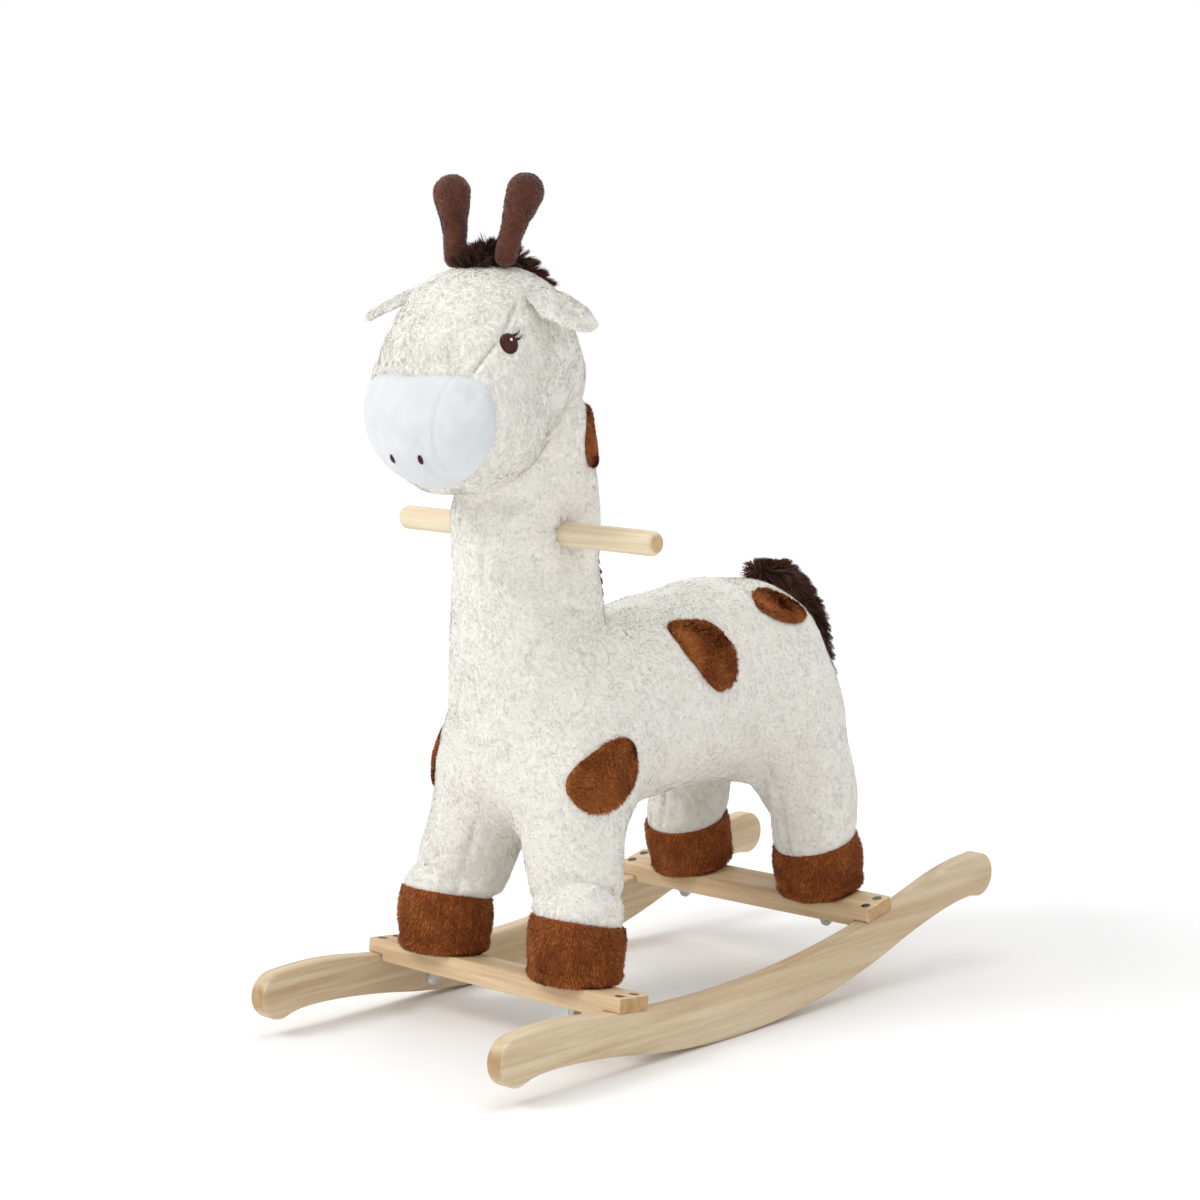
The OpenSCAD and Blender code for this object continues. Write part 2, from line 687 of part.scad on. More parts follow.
left_rocker();
right_rocker();
front_crossbar();
rear_crossbar();
front_crossbar_screws();
rear_crossbar_screws();
front_left_leg_post();
front_right_leg_post();
rear_left_leg_post();
rear_right_leg_post();
leg_studs();
stud_washers();
stud_cap_nuts();
shoulder_block();
hip_block();
spine_board();
neck_board();
post_screws();
spine_screws();
left_neck_bracket();
right_neck_bracket();
bracket_screws();
handle_dowel();
handle_screw();
body_stuffing();
body_cover();
head_stuffing();
head_cover();
muzzle_cover();
front_left_hoof();
front_right_hoof();
rear_left_hoof();
rear_right_hoof();
left_neck_patch();
right_neck_patch();
left_shoulder_patch();
right_shoulder_patch();
left_back_patch();
right_back_patch();
left_rump_patch();
right_rump_patch();
left_eye();
right_eye();
nostrils();
mane();
left_ear();
right_ear();
left_horn();
right_horn();
tail();
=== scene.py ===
"""The looks of a plush giraffe rocker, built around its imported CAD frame.

Lengths in the shape tables are millimetres in the level frame: the toy with its rockers level, before it leans
forward to rest. row() takes them to the frame's metres.
"""
import json
import math

import bmesh
import bpy
import numpy as np
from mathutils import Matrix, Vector
from mathutils.bvhtree import BVHTree

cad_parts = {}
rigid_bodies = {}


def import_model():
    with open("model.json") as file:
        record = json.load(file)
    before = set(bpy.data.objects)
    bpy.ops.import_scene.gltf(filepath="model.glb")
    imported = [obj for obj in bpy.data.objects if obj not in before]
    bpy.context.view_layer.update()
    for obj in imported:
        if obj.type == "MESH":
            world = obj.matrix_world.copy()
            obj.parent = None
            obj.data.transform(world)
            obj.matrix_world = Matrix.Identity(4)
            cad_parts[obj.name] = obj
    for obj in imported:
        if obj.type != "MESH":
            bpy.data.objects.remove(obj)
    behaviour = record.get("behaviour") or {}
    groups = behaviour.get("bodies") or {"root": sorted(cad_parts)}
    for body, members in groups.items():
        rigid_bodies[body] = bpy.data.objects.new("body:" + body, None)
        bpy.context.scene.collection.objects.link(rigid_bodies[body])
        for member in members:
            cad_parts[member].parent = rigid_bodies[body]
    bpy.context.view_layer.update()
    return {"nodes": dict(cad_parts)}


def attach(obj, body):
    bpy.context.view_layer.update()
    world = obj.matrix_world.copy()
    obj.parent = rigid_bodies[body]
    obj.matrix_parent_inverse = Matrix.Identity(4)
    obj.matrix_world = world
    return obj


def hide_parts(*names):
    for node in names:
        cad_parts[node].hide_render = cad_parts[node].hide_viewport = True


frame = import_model()

REST_PITCH = math.radians(4.3)
NOSE_Z = 52.5
SOLE_RADIUS = 660
TOP_RADIUS = 990
BAND_H = 41.5
BAR_W = 33
BAR_END_T = 11.7
HEAD_TURN = math.radians(4)
HEAD_TURN_Y = -118
FRONT_BAR_Y = -166
REAR_BAR_Y = 143
HANDLE = np.array([0, -112, 407.5])
HANDLE_TILT = math.radians(1)
FAR = 60.0

# ---------- Frames ----------


def row(points):
    """Level millimetres to row metres."""
    p = np.asarray(points, float)
    c, s = math.cos(REST_PITCH), math.sin(REST_PITCH)
    rise = SOLE_RADIUS * (math.cos(REST_PITCH / 3) - c)
    y = p[..., 1] * c - p[..., 2] * s + NOSE_Z * s
    z = p[..., 1] * s + p[..., 2] * c + rise
    return np.stack([p[..., 0], y, z], -1) / 1000


def row_direction(d):
    """A level direction as a row direction."""
    return (row(np.asarray(d, float)) - row(np.zeros(3))) * 1000


def turn_z(points, angle, centre_y=0.0):
    """Points turned about the vertical line through (0, centre_y)."""
    p = np.asarray(points, float)
    c, s = math.cos(angle), math.sin(angle)
    y = p[..., 1] - centre_y
    return np.stack([p[..., 0] * c - y * s, p[..., 0] * s + y * c + centre_y, p[..., 2]], -1)


def on_head(points):
    """Points of the untuned head, turned with it a little to the animal's left."""
    return turn_z(points, HEAD_TURN, HEAD_TURN_Y)


def mirrored(points):
    return np.asarray(points, float) * [-1, 1, 1]


def seat_z(y):
    """Height of the crossbar's face at y."""
    sag = BAR_W ** 2 / (8 * TOP_RADIUS)
    return BAND_H + TOP_RADIUS - math.sqrt(TOP_RADIUS ** 2 - y ** 2) + sag + BAR_END_T


def seat_point(y, x, along, up):
    """Level point over the crossbar at y: x across, along the toy, and up from the bar's face."""
    a = math.asin(y / TOP_RADIUS)
    base = np.array([x, y, seat_z(y)])
    return base + [0, along * math.cos(a) - up * math.sin(a), along * math.sin(a) + up * math.cos(a)]


# ---------- Numbers that vary smoothly ----------


def lattice(cells, seed):
    """A repeatable number from 0 to 1 for each whole-number cell."""
    n = cells[..., 0] * 73856093 ^ cells[..., 1] * 19349663 ^ cells[..., 2] * 83492791 ^ (seed * 2654435761)
    n = (n ^ (n >> 13)) * 1274126177 & 0xFFFFFFFF
    return ((n ^ (n >> 16)) & 0xFFFFFF) / 0xFFFFFF


def noise(points, size, seed):
    """Smooth noise from -1 to 1 whose bumps are about size across."""
    q = points / size
    base = np.floor(q).astype(np.int64)
    f = q - base
    f = f * f * (3 - 2 * f)
    total = np.zeros(len(points))
    for corner in np.ndindex(2, 2, 2):
        w = np.prod(np.where(corner, f, 1 - f), axis=1)
        total += w * lattice(base + np.array(corner), seed)
    return 2 * total - 1


# ---------- Soft shapes as distance fields ----------


def ellipsoid(p, centre, half):
    q = (p - centre) / half
    k0 = np.sqrt((q * q).sum(-1))
    k1 = np.sqrt(((q / half) ** 2).sum(-1)) + 1e-9
    return k0 * (k0 - 1) / k1


class Field:
    """Distances, in millimetres, on a grid over a box."""

    def __init__(self, low, high, step):
        self.low, self.step = np.array(low, float), step
        self.axes = [np.arange(a, b + step, step) for a, b in zip(low, high)]
        self.shape = tuple(len(a) for a in self.axes)

    def points(self, block=None):
        axes = [a[s] for a, s in zip(self.axes, block)] if block else self.axes
        return np.stack(np.meshgrid(*axes, indexing="ij"), -1)

    def chain(self, lumps, grow=0.0, steps=8, reach=40):
        """Distance to a skin stretched over neighbouring lumps, each a centre and its half widths."""
        d = np.full(self.shape, FAR)
        lumps = [(np.array(c, float), np.array(r, float) + grow) for c, r in lumps]
        for (c0, r0), (c1, r1) in zip(lumps[:-1], lumps[1:]):
            for t in np.linspace(0, 1, steps):
                c, r = c0 + t * (c1 - c0), r0 + t * (r1 - r0)
                block = tuple(
                    slice(np.searchsorted(a, lo), np.searchsorted(a, hi))
                    for a, lo, hi in zip(self.axes, c - r - reach, c + r + reach)
                )
                d[block] = np.minimum(d[block], ellipsoid(self.points(block), c, r))
        return d


def join(a, b, k):
    """Union of two fields with a fillet of about k."""
    h = np.maximum(k - np.abs(a - b), 0) / k
    return np.minimum(a, b) - h * h * k / 4


def surface(field, d):
    """Quads on the zero level of d: one vertex in each cell that it crosses."""
    n = np.array(d.shape)
    total, count = np.zeros((*(n - 1), 3)), np.zeros(tuple(n - 1))
    crossings = []
    for axis in range(3):
        u, v = [a for a in range(3) if a != axis]
        ahead = [slice(None)] * 3
        ahead[axis] = slice(1, None)
        here = [slice(None)] * 3
        here[axis] = slice(0, -1)
        a, b = d[tuple(here)], d[tuple(ahead)]
        cross = (a < 0) != (b < 0)
        crossings.append((cross, a < 0))
        t = np.where(cross, a / np.where(cross, a - b, 1), 0)
        for du in (0, 1):
            for dv in (0, 1):
                s = [slice(None)] * 3
                s[u], s[v] = slice(du, du + n[u] - 1), slice(dv, dv + n[v] - 1)
                c = cross[tuple(s)]
                count += c
                total[..., axis] += t[tuple(s)]
                total[..., u] += c * du
                total[..., v] += c * dv
    cells = np.argwhere(count > 0)
    ids = np.full(tuple(n - 1), -1)
    ids[tuple(cells.T)] = np.arange(len(cells))
    held = tuple(cells.T)
    verts = field.low + field.step * (cells + total[held] / count[held][:, None])
    quads = []
    for axis, (cross, starts_inside) in enumerate(crossings):
        u, v = [a for a in range(3) if a != axis]
        at = np.argwhere(cross)
        at = at[(at[:, u] > 0) & (at[:, v] > 0) & (at[:, u] < n[u] - 1) & (at[:, v] < n[v] - 1)]
        eu, ev = np.eye(3, dtype=int)[u], np.eye(3, dtype=int)[v]
        ring = np.stack([ids[tuple(q.T)] for q in (at, at - eu, at - eu - ev, at - ev)], 1)
        flip = starts_inside[tuple(at.T)] ^ (axis == 1)
        quads.append(np.where(flip[:, None], ring[:, ::-1], ring))
    return verts, np.concatenate(quads)[:, ::-1]


# ---------- Meshes ----------


def new_mesh(name, verts, faces):
    """A smooth-shaded object from arrays, its faces all with the same number of corners."""
    mesh = bpy.data.meshes.new(name)
    mesh.vertices.add(len(verts))
    mesh.vertices.foreach_set("co", np.ascontiguousarray(verts, np.float32).ravel())
    mesh.loops.add(faces.size)
    mesh.loops.foreach_set("vertex_index", np.ascontiguousarray(faces, np.int32).ravel())
    mesh.polygons.add(len(faces))
    mesh.polygons.foreach_set("loop_start", np.arange(len(faces), dtype=np.int32) * faces.shape[1])
    mesh.polygons.foreach_set("use_smooth", np.ones(len(faces), bool))
    mesh.update(calc_edges=True)
    obj = bpy.data.objects.new(name, mesh)
    bpy.context.scene.collection.objects.link(obj)
    return obj


def coords(obj):
    co = np.empty(len(obj.data.vertices) * 3, np.float32)
    obj.data.vertices.foreach_get("co", co)
    return co.reshape(-1, 3).astype(float)


def set_coords(obj, co):
    obj.data.vertices.foreach_set("co", np.ascontiguousarray(co, np.float32).ravel())
    obj.data.update()


def vertex_normals(obj):
    no = np.empty(len(obj.data.vertices) * 3, np.float32)
    obj.data.vertex_normals.foreach_get("vector", no)
    return no.reshape(-1, 3).astype(float)


def relax(obj, times, strength=0.5):
    """Evens a mesh out by moving each vertex towards its neighbours' mean."""
    edges = np.empty(len(obj.data.edges) * 2, np.int32)
    obj.data.edges.foreach_get("vertices", edges)
    edges = edges.reshape(-1, 2)
    co = coords(obj)
    degree = np.bincount(edges.ravel(), minlength=len(co))[:, None]
    for _ in range(times):
        total = np.zeros_like(co)
        np.add.at(total, edges[:, 0], co[edges[:, 1]])
        np.add.at(total, edges[:, 1], co[edges[:, 0]])
        co += strength * (total / degree - co)
    set_coords(obj, co)


def apply_modifiers(obj):
    graph = bpy.context.evaluated_depsgraph_get()
    mesh = bpy.data.meshes.new_from_object(obj.evaluated_get(graph), depsgraph=graph)
    obj.modifiers.clear()
    obj.data = mesh
    return obj


def subdivide(obj, levels=1):
    obj.modifiers.new("finer", "SUBSURF").levels = levels
    apply_modifiers(obj)
    obj.data.polygons.foreach_set("use_smooth", np.ones(len(obj.data.polygons), bool))


def inflate(obj, pressure, cap, held, frames=16):
    """Stuffs a sewn skin: cloth under pressure, held at its seams, moving no more than cap metres."""
    start = coords(obj)
    group = obj.vertex_groups.new(name="seams")
    group.add(np.flatnonzero(held).tolist(), 1.0, "REPLACE")
    cloth = obj.modifiers.new("stuffing", "CLOTH")
    s = cloth.settings
    s.quality = 6
    s.mass = 0.25
    s.tension_stiffness = s.compression_stiffness = 12
    s.shear_stiffness = 6
    s.bending_stiffness = 0.6
    s.use_pressure = True
    s.uniform_pressure_force = pressure
    s.shrink_min = -0.035
    s.effector_weights.gravity = 0
    s.vertex_group_mass = "seams"
    cloth.collision_settings.use_collision = False
    scene = bpy.context.scene
    for f in range(1, frames + 1):
        scene.frame_set(f)
    graph = bpy.context.evaluated_depsgraph_get()
    moved = np.array([v.co for v in obj.evaluated_get(graph).data.vertices]) - start
    size = np.linalg.norm(moved, axis=1, keepdims=True) + 1e-9
    obj.modifiers.clear()
    obj.vertex_groups.clear()
    scene.frame_set(1)
    set_coords(obj, start + moved / size * cap * np.tanh(size / cap))


def along(points, line):
    """Distance from each point to a chain of straight stretches."""
    best = np.full(len(points), 1e9)
    for a, b in zip(line[:-1], line[1:]):
        d = b - a
        t = np.clip((points - a) @ d / (d @ d), 0, 1)
        best = np.minimum(best, np.linalg.norm(points - a - t[:, None] * d, axis=1))
    return best


def tree_of(obj):
    mesh = obj.data
    return BVHTree.FromPolygons([v.co for v in mesh.vertices], [p.vertices for p in mesh.polygons])


def lathe(profile, turns=64):
    """Verts and quads of a profile of (radius, height) turned about Z, its end rings left open."""
    angle = np.arange(turns) * 2 * math.pi / turns
    rings = [np.stack([r * np.cos(angle), r * np.sin(angle), np.full(turns, z)], 1) for r, z in profile]
    verts = np.concatenate(rings)
    k = np.arange(turns)
    quads = [
        np.stack([i * turns + k, i * turns + (k + 1) % turns, (i + 1) * turns + (k + 1) % turns,
                  (i + 1) * turns + k], 1)
        for i in range(len(profile) - 1)
    ]
    return verts, np.concatenate(quads)


# ---------- Pile and hair ----------


def fibres(name, surfaces, count, length, width, lean, materials, seed, joints=1, clump=0.0, clump_size=4,
           droop=0.0, spread=0.35, comb=None, keep=None):
    """A coat of tapered fibres rooted on the faces of the surface objects.

    lean is how far fibres lie over from upright, 0 to 1, clump how far tips gather on their clump's middle,
    clump_size its width in millimetres, droop the sideways pull of gravity, and comb(points) a direction.
    keep(points) says which roots grow one.
    """
    rng = np.random.default_rng(seed)
    corners, normals = [], []
    for obj in surfaces:
        mesh = obj.data
        mesh.calc_loop_triangles()
        tri = np.empty(len(mesh.loop_triangles) * 3, np.int32)
        mesh.loop_triangles.foreach_get("vertices", tri)
        tri = tri.reshape(-1, 3)
        corners.append(coords(obj)[tri])
        normals.append(vertex_normals(obj)[tri])
    corners, normals = np.concatenate(corners), np.concatenate(normals)
    area = np.linalg.norm(np.cross(corners[:, 1] - corners[:, 0], corners[:, 2] - corners[:, 0]), axis=1)
    if keep is not None:
        area = area * keep(corners.mean(1))
    pick = np.searchsorted(np.cumsum(area / area.sum()), rng.random(count)).clip(0, len(area) - 1)
    w = rng.random((count, 2))
    w = np.where(w.sum(1, keepdims=True) > 1, 1 - w, w)
    w = np.concatenate([1 - w.sum(1, keepdims=True), w], 1)[:, :, None]
    root = (corners[pick] * w).sum(1)
    up = (normals[pick] * w).sum(1)
    up /= np.linalg.norm(up, axis=1, keepdims=True) + 1e-9
    flow = np.stack([noise(root, 0.018, seed + i) for i in (1, 2, 3)], 1)
    flow += 0.5 * np.stack([noise(root, 0.006, seed + i) for i in (4, 5, 6)], 1)
    flow[:, 2] -= 0.6
    if comb is not None:
        flow += comb(root)
    flow += spread * rng.normal(size=(count, 3))
    flow -= (flow * up).sum(1, keepdims=True) * up
    flow /= np.linalg.norm(flow, axis=1, keepdims=True) + 1e-9
    tilt = np.clip(lean * (1 + 0.3 * rng.normal(size=count)), 0.05, 4.0)[:, None]
    out = up + tilt * flow
    out /= np.linalg.norm(out, axis=1, keepdims=True)
    size = (length * rng.uniform(0.65, 1.2, count))[:, None]
    tip = root + size * out
    tip[:, 2] -= droop * size[:, 0]
    if clump:
        cell = np.floor(root / (clump_size / 1000) + rng.normal(scale=0.15, size=root.shape)).astype(np.int64)
        cell -= cell.min(0)
        key = (cell[:, 0] * 4096 + cell[:, 1]) * 4096 + cell[:, 2]
        _, group = np.unique(key, return_inverse=True)
        members = np.bincount(group)[:, None]
        middle = np.zeros((len(members), 3))
        np.add.at(middle, group, tip)
        tip += clump * ((middle / members)[group] - tip)
    side = np.cross(tip - root, up) + 0.25 * size * rng.normal(size=(count, 3))
    side /= np.linalg.norm(side, axis=1, keepdims=True) + 1e-9
    half = (width / 2 * rng.uniform(0.7, 1.3, count))[:, None]
    bend = up * (size * 0.25 * lean)
    rings = []
    for j in range(joints):
        t = j / joints
        centre = root + t * (tip - root) + 4 * t * (1 - t) * 0.5 * bend
        rings += [centre - side * half * (1 - t) ** 0.7, centre + side * half * (1 - t) ** 0.7]
    rings.append(tip)
    verts = np.stack(rings, 1)
    faces = []
    for j in range(joints - 1):
        a = 2 * j
        faces += [(a, a + 1, a + 3), (a, a + 3, a + 2)]
    faces.append((2 * joints - 2, 2 * joints - 1, 2 * joints))
    faces = np.array(faces)
    face_normal = np.cross(verts[:, 1] - verts[:, 0], verts[:, -1] - verts[:, 0])
    back = (face_normal * up).sum(1) < 0
    per = verts.shape[1]
    index = np.arange(count)[:, None, None] * per + faces[None]
    index[back] = index[back][:, :, ::-1]
    obj = new_mesh(name, verts.reshape(-1, 3), index.reshape(-1, 3))
    shade = up + 0.3 * flow * rng.normal(size=(count, 1)) + 0.16 * rng.normal(size=(count, 3))
    shade /= np.linalg.norm(shade, axis=1, keepdims=True)
    mottle = noise(root, 0.012, seed + 7) + 0.9 * rng.normal(size=count)
    tone = np.clip((mottle + 1.6) / 3.2 * len(materials), 0, len(materials) - 1).astype(np.int32)
    for m in materials:
        obj.data.materials.append(m)
    obj.data.polygons.foreach_set("material_index", np.repeat(tone, len(faces)))
    if lean > 1:
        obj.data.normals_split_custom_set_from_vertices(np.repeat(shade, per, axis=0))
    return obj


# ---------- Materials ----------


def material(name):
    mat = bpy.data.materials.new(name)
    mat.use_nodes = True
    return mat, mat.node_tree.nodes, mat.node_tree.links, mat.node_tree.nodes["Principled BSDF"]


def linear(colour):
    """A colour as seen, 0 to 255, as the light it gives back."""
    c = np.array(colour, float) / 255
    return (*np.where(c <= 0.04045, c / 12.92, ((c + 0.055) / 1.055) ** 2.4), 1.0)


def noise_node(nodes, links, coordinates, scale, detail=4.0, stretch=None, distortion=0.0):
    tex = nodes.new("ShaderNodeTexNoise")
    tex.inputs["Scale"].default_value = scale
    tex.inputs["Detail"].default_value = detail
    tex.inputs["Distortion"].default_value = distortion
    if stretch:
        mapping = nodes.new("ShaderNodeMapping")
        mapping.inputs["Scale"].default_value = stretch
        links.new(coordinates, mapping.inputs["Vector"])
        coordinates = mapping.outputs["Vector"]
    links.new(coordinates, tex.inputs["Vector"])
    return tex.outputs["Fac"]


def ramp(nodes, links, value, stops):
    node = nodes.new("ShaderNodeValToRGB")
    links.new(value, node.inputs["Fac"])
    elements = node.color_ramp.elements
    while len(elements) < len(stops):
        elements.new(0.5)
    for element, (position, colour) in zip(elements, stops):
        element.position, element.color = position, colour
    return node.outputs["Color"]


def mix(nodes, links, how, factor, a, b):
    node = nodes.new("ShaderNodeMix")
    node.data_type, node.blend_type = "RGBA", how
    for socket, value in (("Factor", factor), ("A", a), ("B", b)):
        target = [i for i in node.inputs if i.name == socket and i.enabled][0]
        if isinstance(value, (float, int, tuple)):
            target.default_value = value
        else:
            links.new(value, target)
    return [o for o in node.outputs if o.enabled][0]


def bump(nodes, links, shader, heights):
    """Adds bumps, each a height socket with its strength and its depth in metres."""
    normal = None
    for height, strength, depth in heights:
        node = nodes.new("ShaderNodeBump")
        node.inputs["Strength"].default_value = strength
        node.inputs["Distance"].default_value = depth
        links.new(height, node.inputs["Height"])
        if normal is not None:
            links.new(normal, node.inputs["Normal"])
        normal = node.outputs["Normal"]
    links.new(normal, shader.inputs["Normal"])


def cloth_material(name, dark, light, mottle=90, pile=900, sheen=0.3, depth=0.0006, weave=None):
    """Plush, velour or fur backing: mottled colour, a fine nap in the bump and a soft sheen."""
    mat, nodes, links, shader = material(name)
    where = nodes.new("ShaderNodeTexCoord").outputs["Object"]
    patches = noise_node(nodes, links, where, mottle, 3)
    nap = noise_node(nodes, links, where, pile, 2)
    both = mix(nodes, links, "MIX", 0.45, patches, nap)
    colour = ramp(nodes, links, both, [(0.3, linear(dark)), (0.7, linear(light))])
    links.new(colour, shader.inputs["Base Color"])
    shader.inputs["Roughness"].default_value = 0.9
    shader.inputs["Specular IOR Level"].default_value = 0.2
    shader.inputs["Sheen Weight"].default_value = sheen
    shader.inputs["Sheen Roughness"].default_value = 0.5
    heights = [(patches, 0.3, depth * 2), (nap, 0.7, depth)]
    if weave:
        ribs = nodes.new("ShaderNodeTexWave")
        ribs.inputs["Scale"].default_value = weave
        ribs.inputs["Distortion"].default_value = 1.5
        ribs.bands_direction = "Z"
        links.new(where, ribs.inputs["Vector"])
        heights.append((ribs.outputs["Fac"], 0.35, depth))
    bump(nodes, links, shader, heights)
    return mat


def fibre_materials(name, tones, sheen=0.15):
    """One plain-coloured material for each tone of a coat of fibres, slightly varied along the coat."""
    made = []
    for i, tone in enumerate(tones):
        mat, nodes, links, shader = material(f"{name}_{i}")
        where = nodes.new("ShaderNodeTexCoord").outputs["Object"]
        drift = noise_node(nodes, links, where, 70, 2)
        darker = tuple(0.95 * c for c in tone)
        links.new(ramp(nodes, links, drift, [(0.35, linear(darker)), (0.65, linear(tone))]),
                  shader.inputs["Base Color"])
        shader.inputs["Roughness"].default_value = 0.85
        shader.inputs["Specular IOR Level"].default_value = 0.25
        shader.inputs["Sheen Weight"].default_value = sheen
        made.append(mat)
    return made


def wood_material(name, grain, pale, deep, end=(0.72, 0.6, 0.45), contrast=1.0, roughness=0.5):
    """Sanded pale wood: growth bands and fine pores drawn out along the grain axis, darker end grain."""
    mat, nodes, links, shader = material(name)
    coordinates = nodes.new("ShaderNodeTexCoord")
    where = coordinates.outputs["Object"]
    axis = "XYZ".index(grain)

    def stretch(along_grain, across):
        return tuple(along_grain if i == axis else across for i in range(3))

    bands = noise_node(nodes, links, where, 1.0, 3, stretch(2.2, 34), 1.2)
    streaks = noise_node(nodes, links, where, 1.0, 6, stretch(5, 210), 0.4)
    pores = noise_node(nodes, links, where, 1.0, 4, stretch(60, 1900))
    colour = ramp(nodes, links, bands, [(0.32, linear(deep)), (0.5, linear(pale)), (0.72, linear(deep))])
    fine = ramp(nodes, links, streaks, [(0.35, (0.78, 0.7, 0.6, 1)), (0.6, (1, 1, 1, 1))])
    colour = mix(nodes, links, "MULTIPLY", 0.55 * contrast, colour, fine)
    specks = ramp(nodes, links, pores, [(0.3, (0.7, 0.58, 0.45, 1)), (0.45, (1, 1, 1, 1))])
    colour = mix(nodes, links, "MULTIPLY", 0.4 * contrast, colour, specks)
    apart = nodes.new("ShaderNodeSeparateXYZ")
    links.new(coordinates.outputs["Normal"], apart.inputs["Vector"])
    facing = nodes.new("ShaderNodeMath")
    facing.operation = "ABSOLUTE"
    links.new(apart.outputs[axis], facing.inputs[0])
    cut_end = ramp(nodes, links, facing.outputs[0], [(0.75, (1, 1, 1, 1)), (0.95, (*end, 1))])
    colour = mix(nodes, links, "MULTIPLY", 1.0, colour, cut_end)
    links.new(colour, shader.inputs["Base Color"])
    rough = nodes.new("ShaderNodeMapRange")
    rough.inputs["To Min"].default_value = roughness - 0.08
    rough.inputs["To Max"].default_value = roughness + 0.12
    links.new(streaks, rough.inputs["Value"])
    links.new(rough.outputs["Result"], shader.inputs["Roughness"])
    shader.inputs["Specular IOR Level"].default_value = 0.35
    bump(nodes, links, shader, [(pores, 0.25, 0.0002), (streaks, 0.2, 0.0003)])
    return mat


def metal_material(name, colour, roughness, scratches=300):
    mat, nodes, links, shader = material(name)
    where = nodes.new("ShaderNodeTexCoord").outputs["Object"]
    fine = noise_node(nodes, links, where, scratches, 5)
    darker = tuple(0.8 * c for c in colour)
    links.new(ramp(nodes, links, fine, [(0.3, linear(darker)), (0.7, linear(colour))]),
              shader.inputs["Base Color"])
    shader.inputs["Metallic"].default_value = 1.0
    rough = nodes.new("ShaderNodeMapRange")
    rough.inputs["To Min"].default_value = roughness - 0.1
    rough.inputs["To Max"].default_value = roughness + 0.1
    links.new(fine, rough.inputs["Value"])
    links.new(rough.outputs["Result"], shader.inputs["Roughness"])
    bump(nodes, links, shader, [(fine, 0.1, 0.0001)])
    return mat


CREAM = cloth_material("cream_plush", (229, 226, 217), (243, 240, 232), sheen=0.25)
CREAM_PILE = fibre_materials("cream_pile",
                             [(234, 231, 223), (238, 235, 228), (241, 238, 231), (244, 242, 236)])
VELOUR = cloth_material("white_velour", (203, 206, 209), (216, 219, 222), mottle=60, pile=2200, depth=0.0002)
BROWN = cloth_material("brown_plush", (108, 52, 19), (148, 79, 34), mottle=120, sheen=0.05)
BROWN_PILE = fibre_materials("brown_pile",
                             [(116, 57, 19), (142, 76, 31), (166, 94, 43), (190, 116, 60)], sheen=0.0)
PATCH_PILE = fibre_materials("patch_pile",
                             [(126, 63, 24), (150, 81, 34), (170, 97, 45), (190, 117, 61)], sheen=0.0)
DARK = cloth_material("dark_fur", (34, 16, 12), (56, 28, 22), mottle=140)
DARK_FUR = fibre_materials("dark_hair", [(40, 20, 13), (58, 31, 21), (78, 45, 31), (104, 64, 46)], sheen=0.05)
HORN_VELOUR = cloth_material("horn_velour", (60, 27, 17), (112, 60, 42), mottle=70, pile=1600, sheen=0.4,
                             depth=0.0003, weave=260)
HORN_PILE = fibre_materials("horn_pile", [(84, 46, 34), (106, 62, 46), (128, 78, 60)])
THREAD = cloth_material("brown_thread", (44, 14, 10), (78, 30, 22), mottle=200, pile=1500, depth=0.0003,
                        weave=520)
WHITE_THREAD = cloth_material("white_thread", (228, 228, 228), (250, 250, 250), pile=1500, depth=0.0002)
ROCKER_WOOD = wood_material("rocker_wood", "Y", (220, 202, 172), (200, 176, 142))
BAR_WOOD = wood_material("bar_wood", "X", (226, 202, 166), (206, 174, 134))
DOWEL_WOOD = wood_material("dowel_wood", "X", (230, 216, 188), (216, 196, 164), contrast=0.7)
TIMBER = wood_material("frame_timber", "Z", (206, 176, 134), (180, 146, 104))
PLYWOOD = wood_material("plywood", "Z", (204, 174, 134), (178, 144, 104), contrast=1.2, roughness=0.6)
ZINC = metal_material("zinc_steel", (196, 198, 200), 0.3)
SCREW = metal_material("screw_steel", (92, 90, 88), 0.4)

# ---------- The scene: camera, light and floor ----------

scene = bpy.context.scene
EYE = Vector((1.422, -1.582, 0.580))
AZIMUTH, ELEVATION, LENS = math.radians(42.92), math.radians(6.64), 77.95
camera = bpy.data.objects.new("camera", bpy.data.cameras.new("camera"))
scene.collection.objects.link(camera)
camera.data.lens, camera.data.sensor_width = LENS, 36
camera.location = EYE
away = Vector((-math.sin(AZIMUTH) * math.cos(ELEVATION), math.cos(AZIMUTH) * math.cos(ELEVATION),
               -math.sin(ELEVATION)))
camera.rotation_euler = away.to_track_quat("-Z", "Y").to_euler()
camera.data.clip_start, camera.data.clip_end = 0.05, 100
scene.camera = camera

world = bpy.data.worlds.new("studio")
world.use_nodes = True
backdrop = world.node_tree.nodes["Background"]
backdrop.inputs["Color"].default_value = (1, 1, 1, 1)
seen = world.node_tree.nodes.new("ShaderNodeLightPath")
strength = world.node_tree.nodes.new("ShaderNodeMapRange")
strength.inputs["To Min"].default_value = 0.7
strength.inputs["To Max"].default_value = 1.0
world.node_tree.links.new(seen.outputs["Is Camera Ray"], strength.inputs["Value"])
world.node_tree.links.new(strength.outputs["Result"], backdrop.inputs["Strength"])
scene.world = world
scene.view_settings.view_transform = "Standard"


def softbox(name, place, size, power, aim=(0, 0, 0.3)):
    light = bpy.data.objects.new(name, bpy.data.lights.new(name, "AREA"))
    light.data.energy, light.data.shape, light.data.size = power, "DISK", size
    light.location = place
    light.rotation_euler = (Vector(aim) - Vector(place)).to_track_quat("-Z", "Y").to_euler()
    scene.collection.objects.link(light)


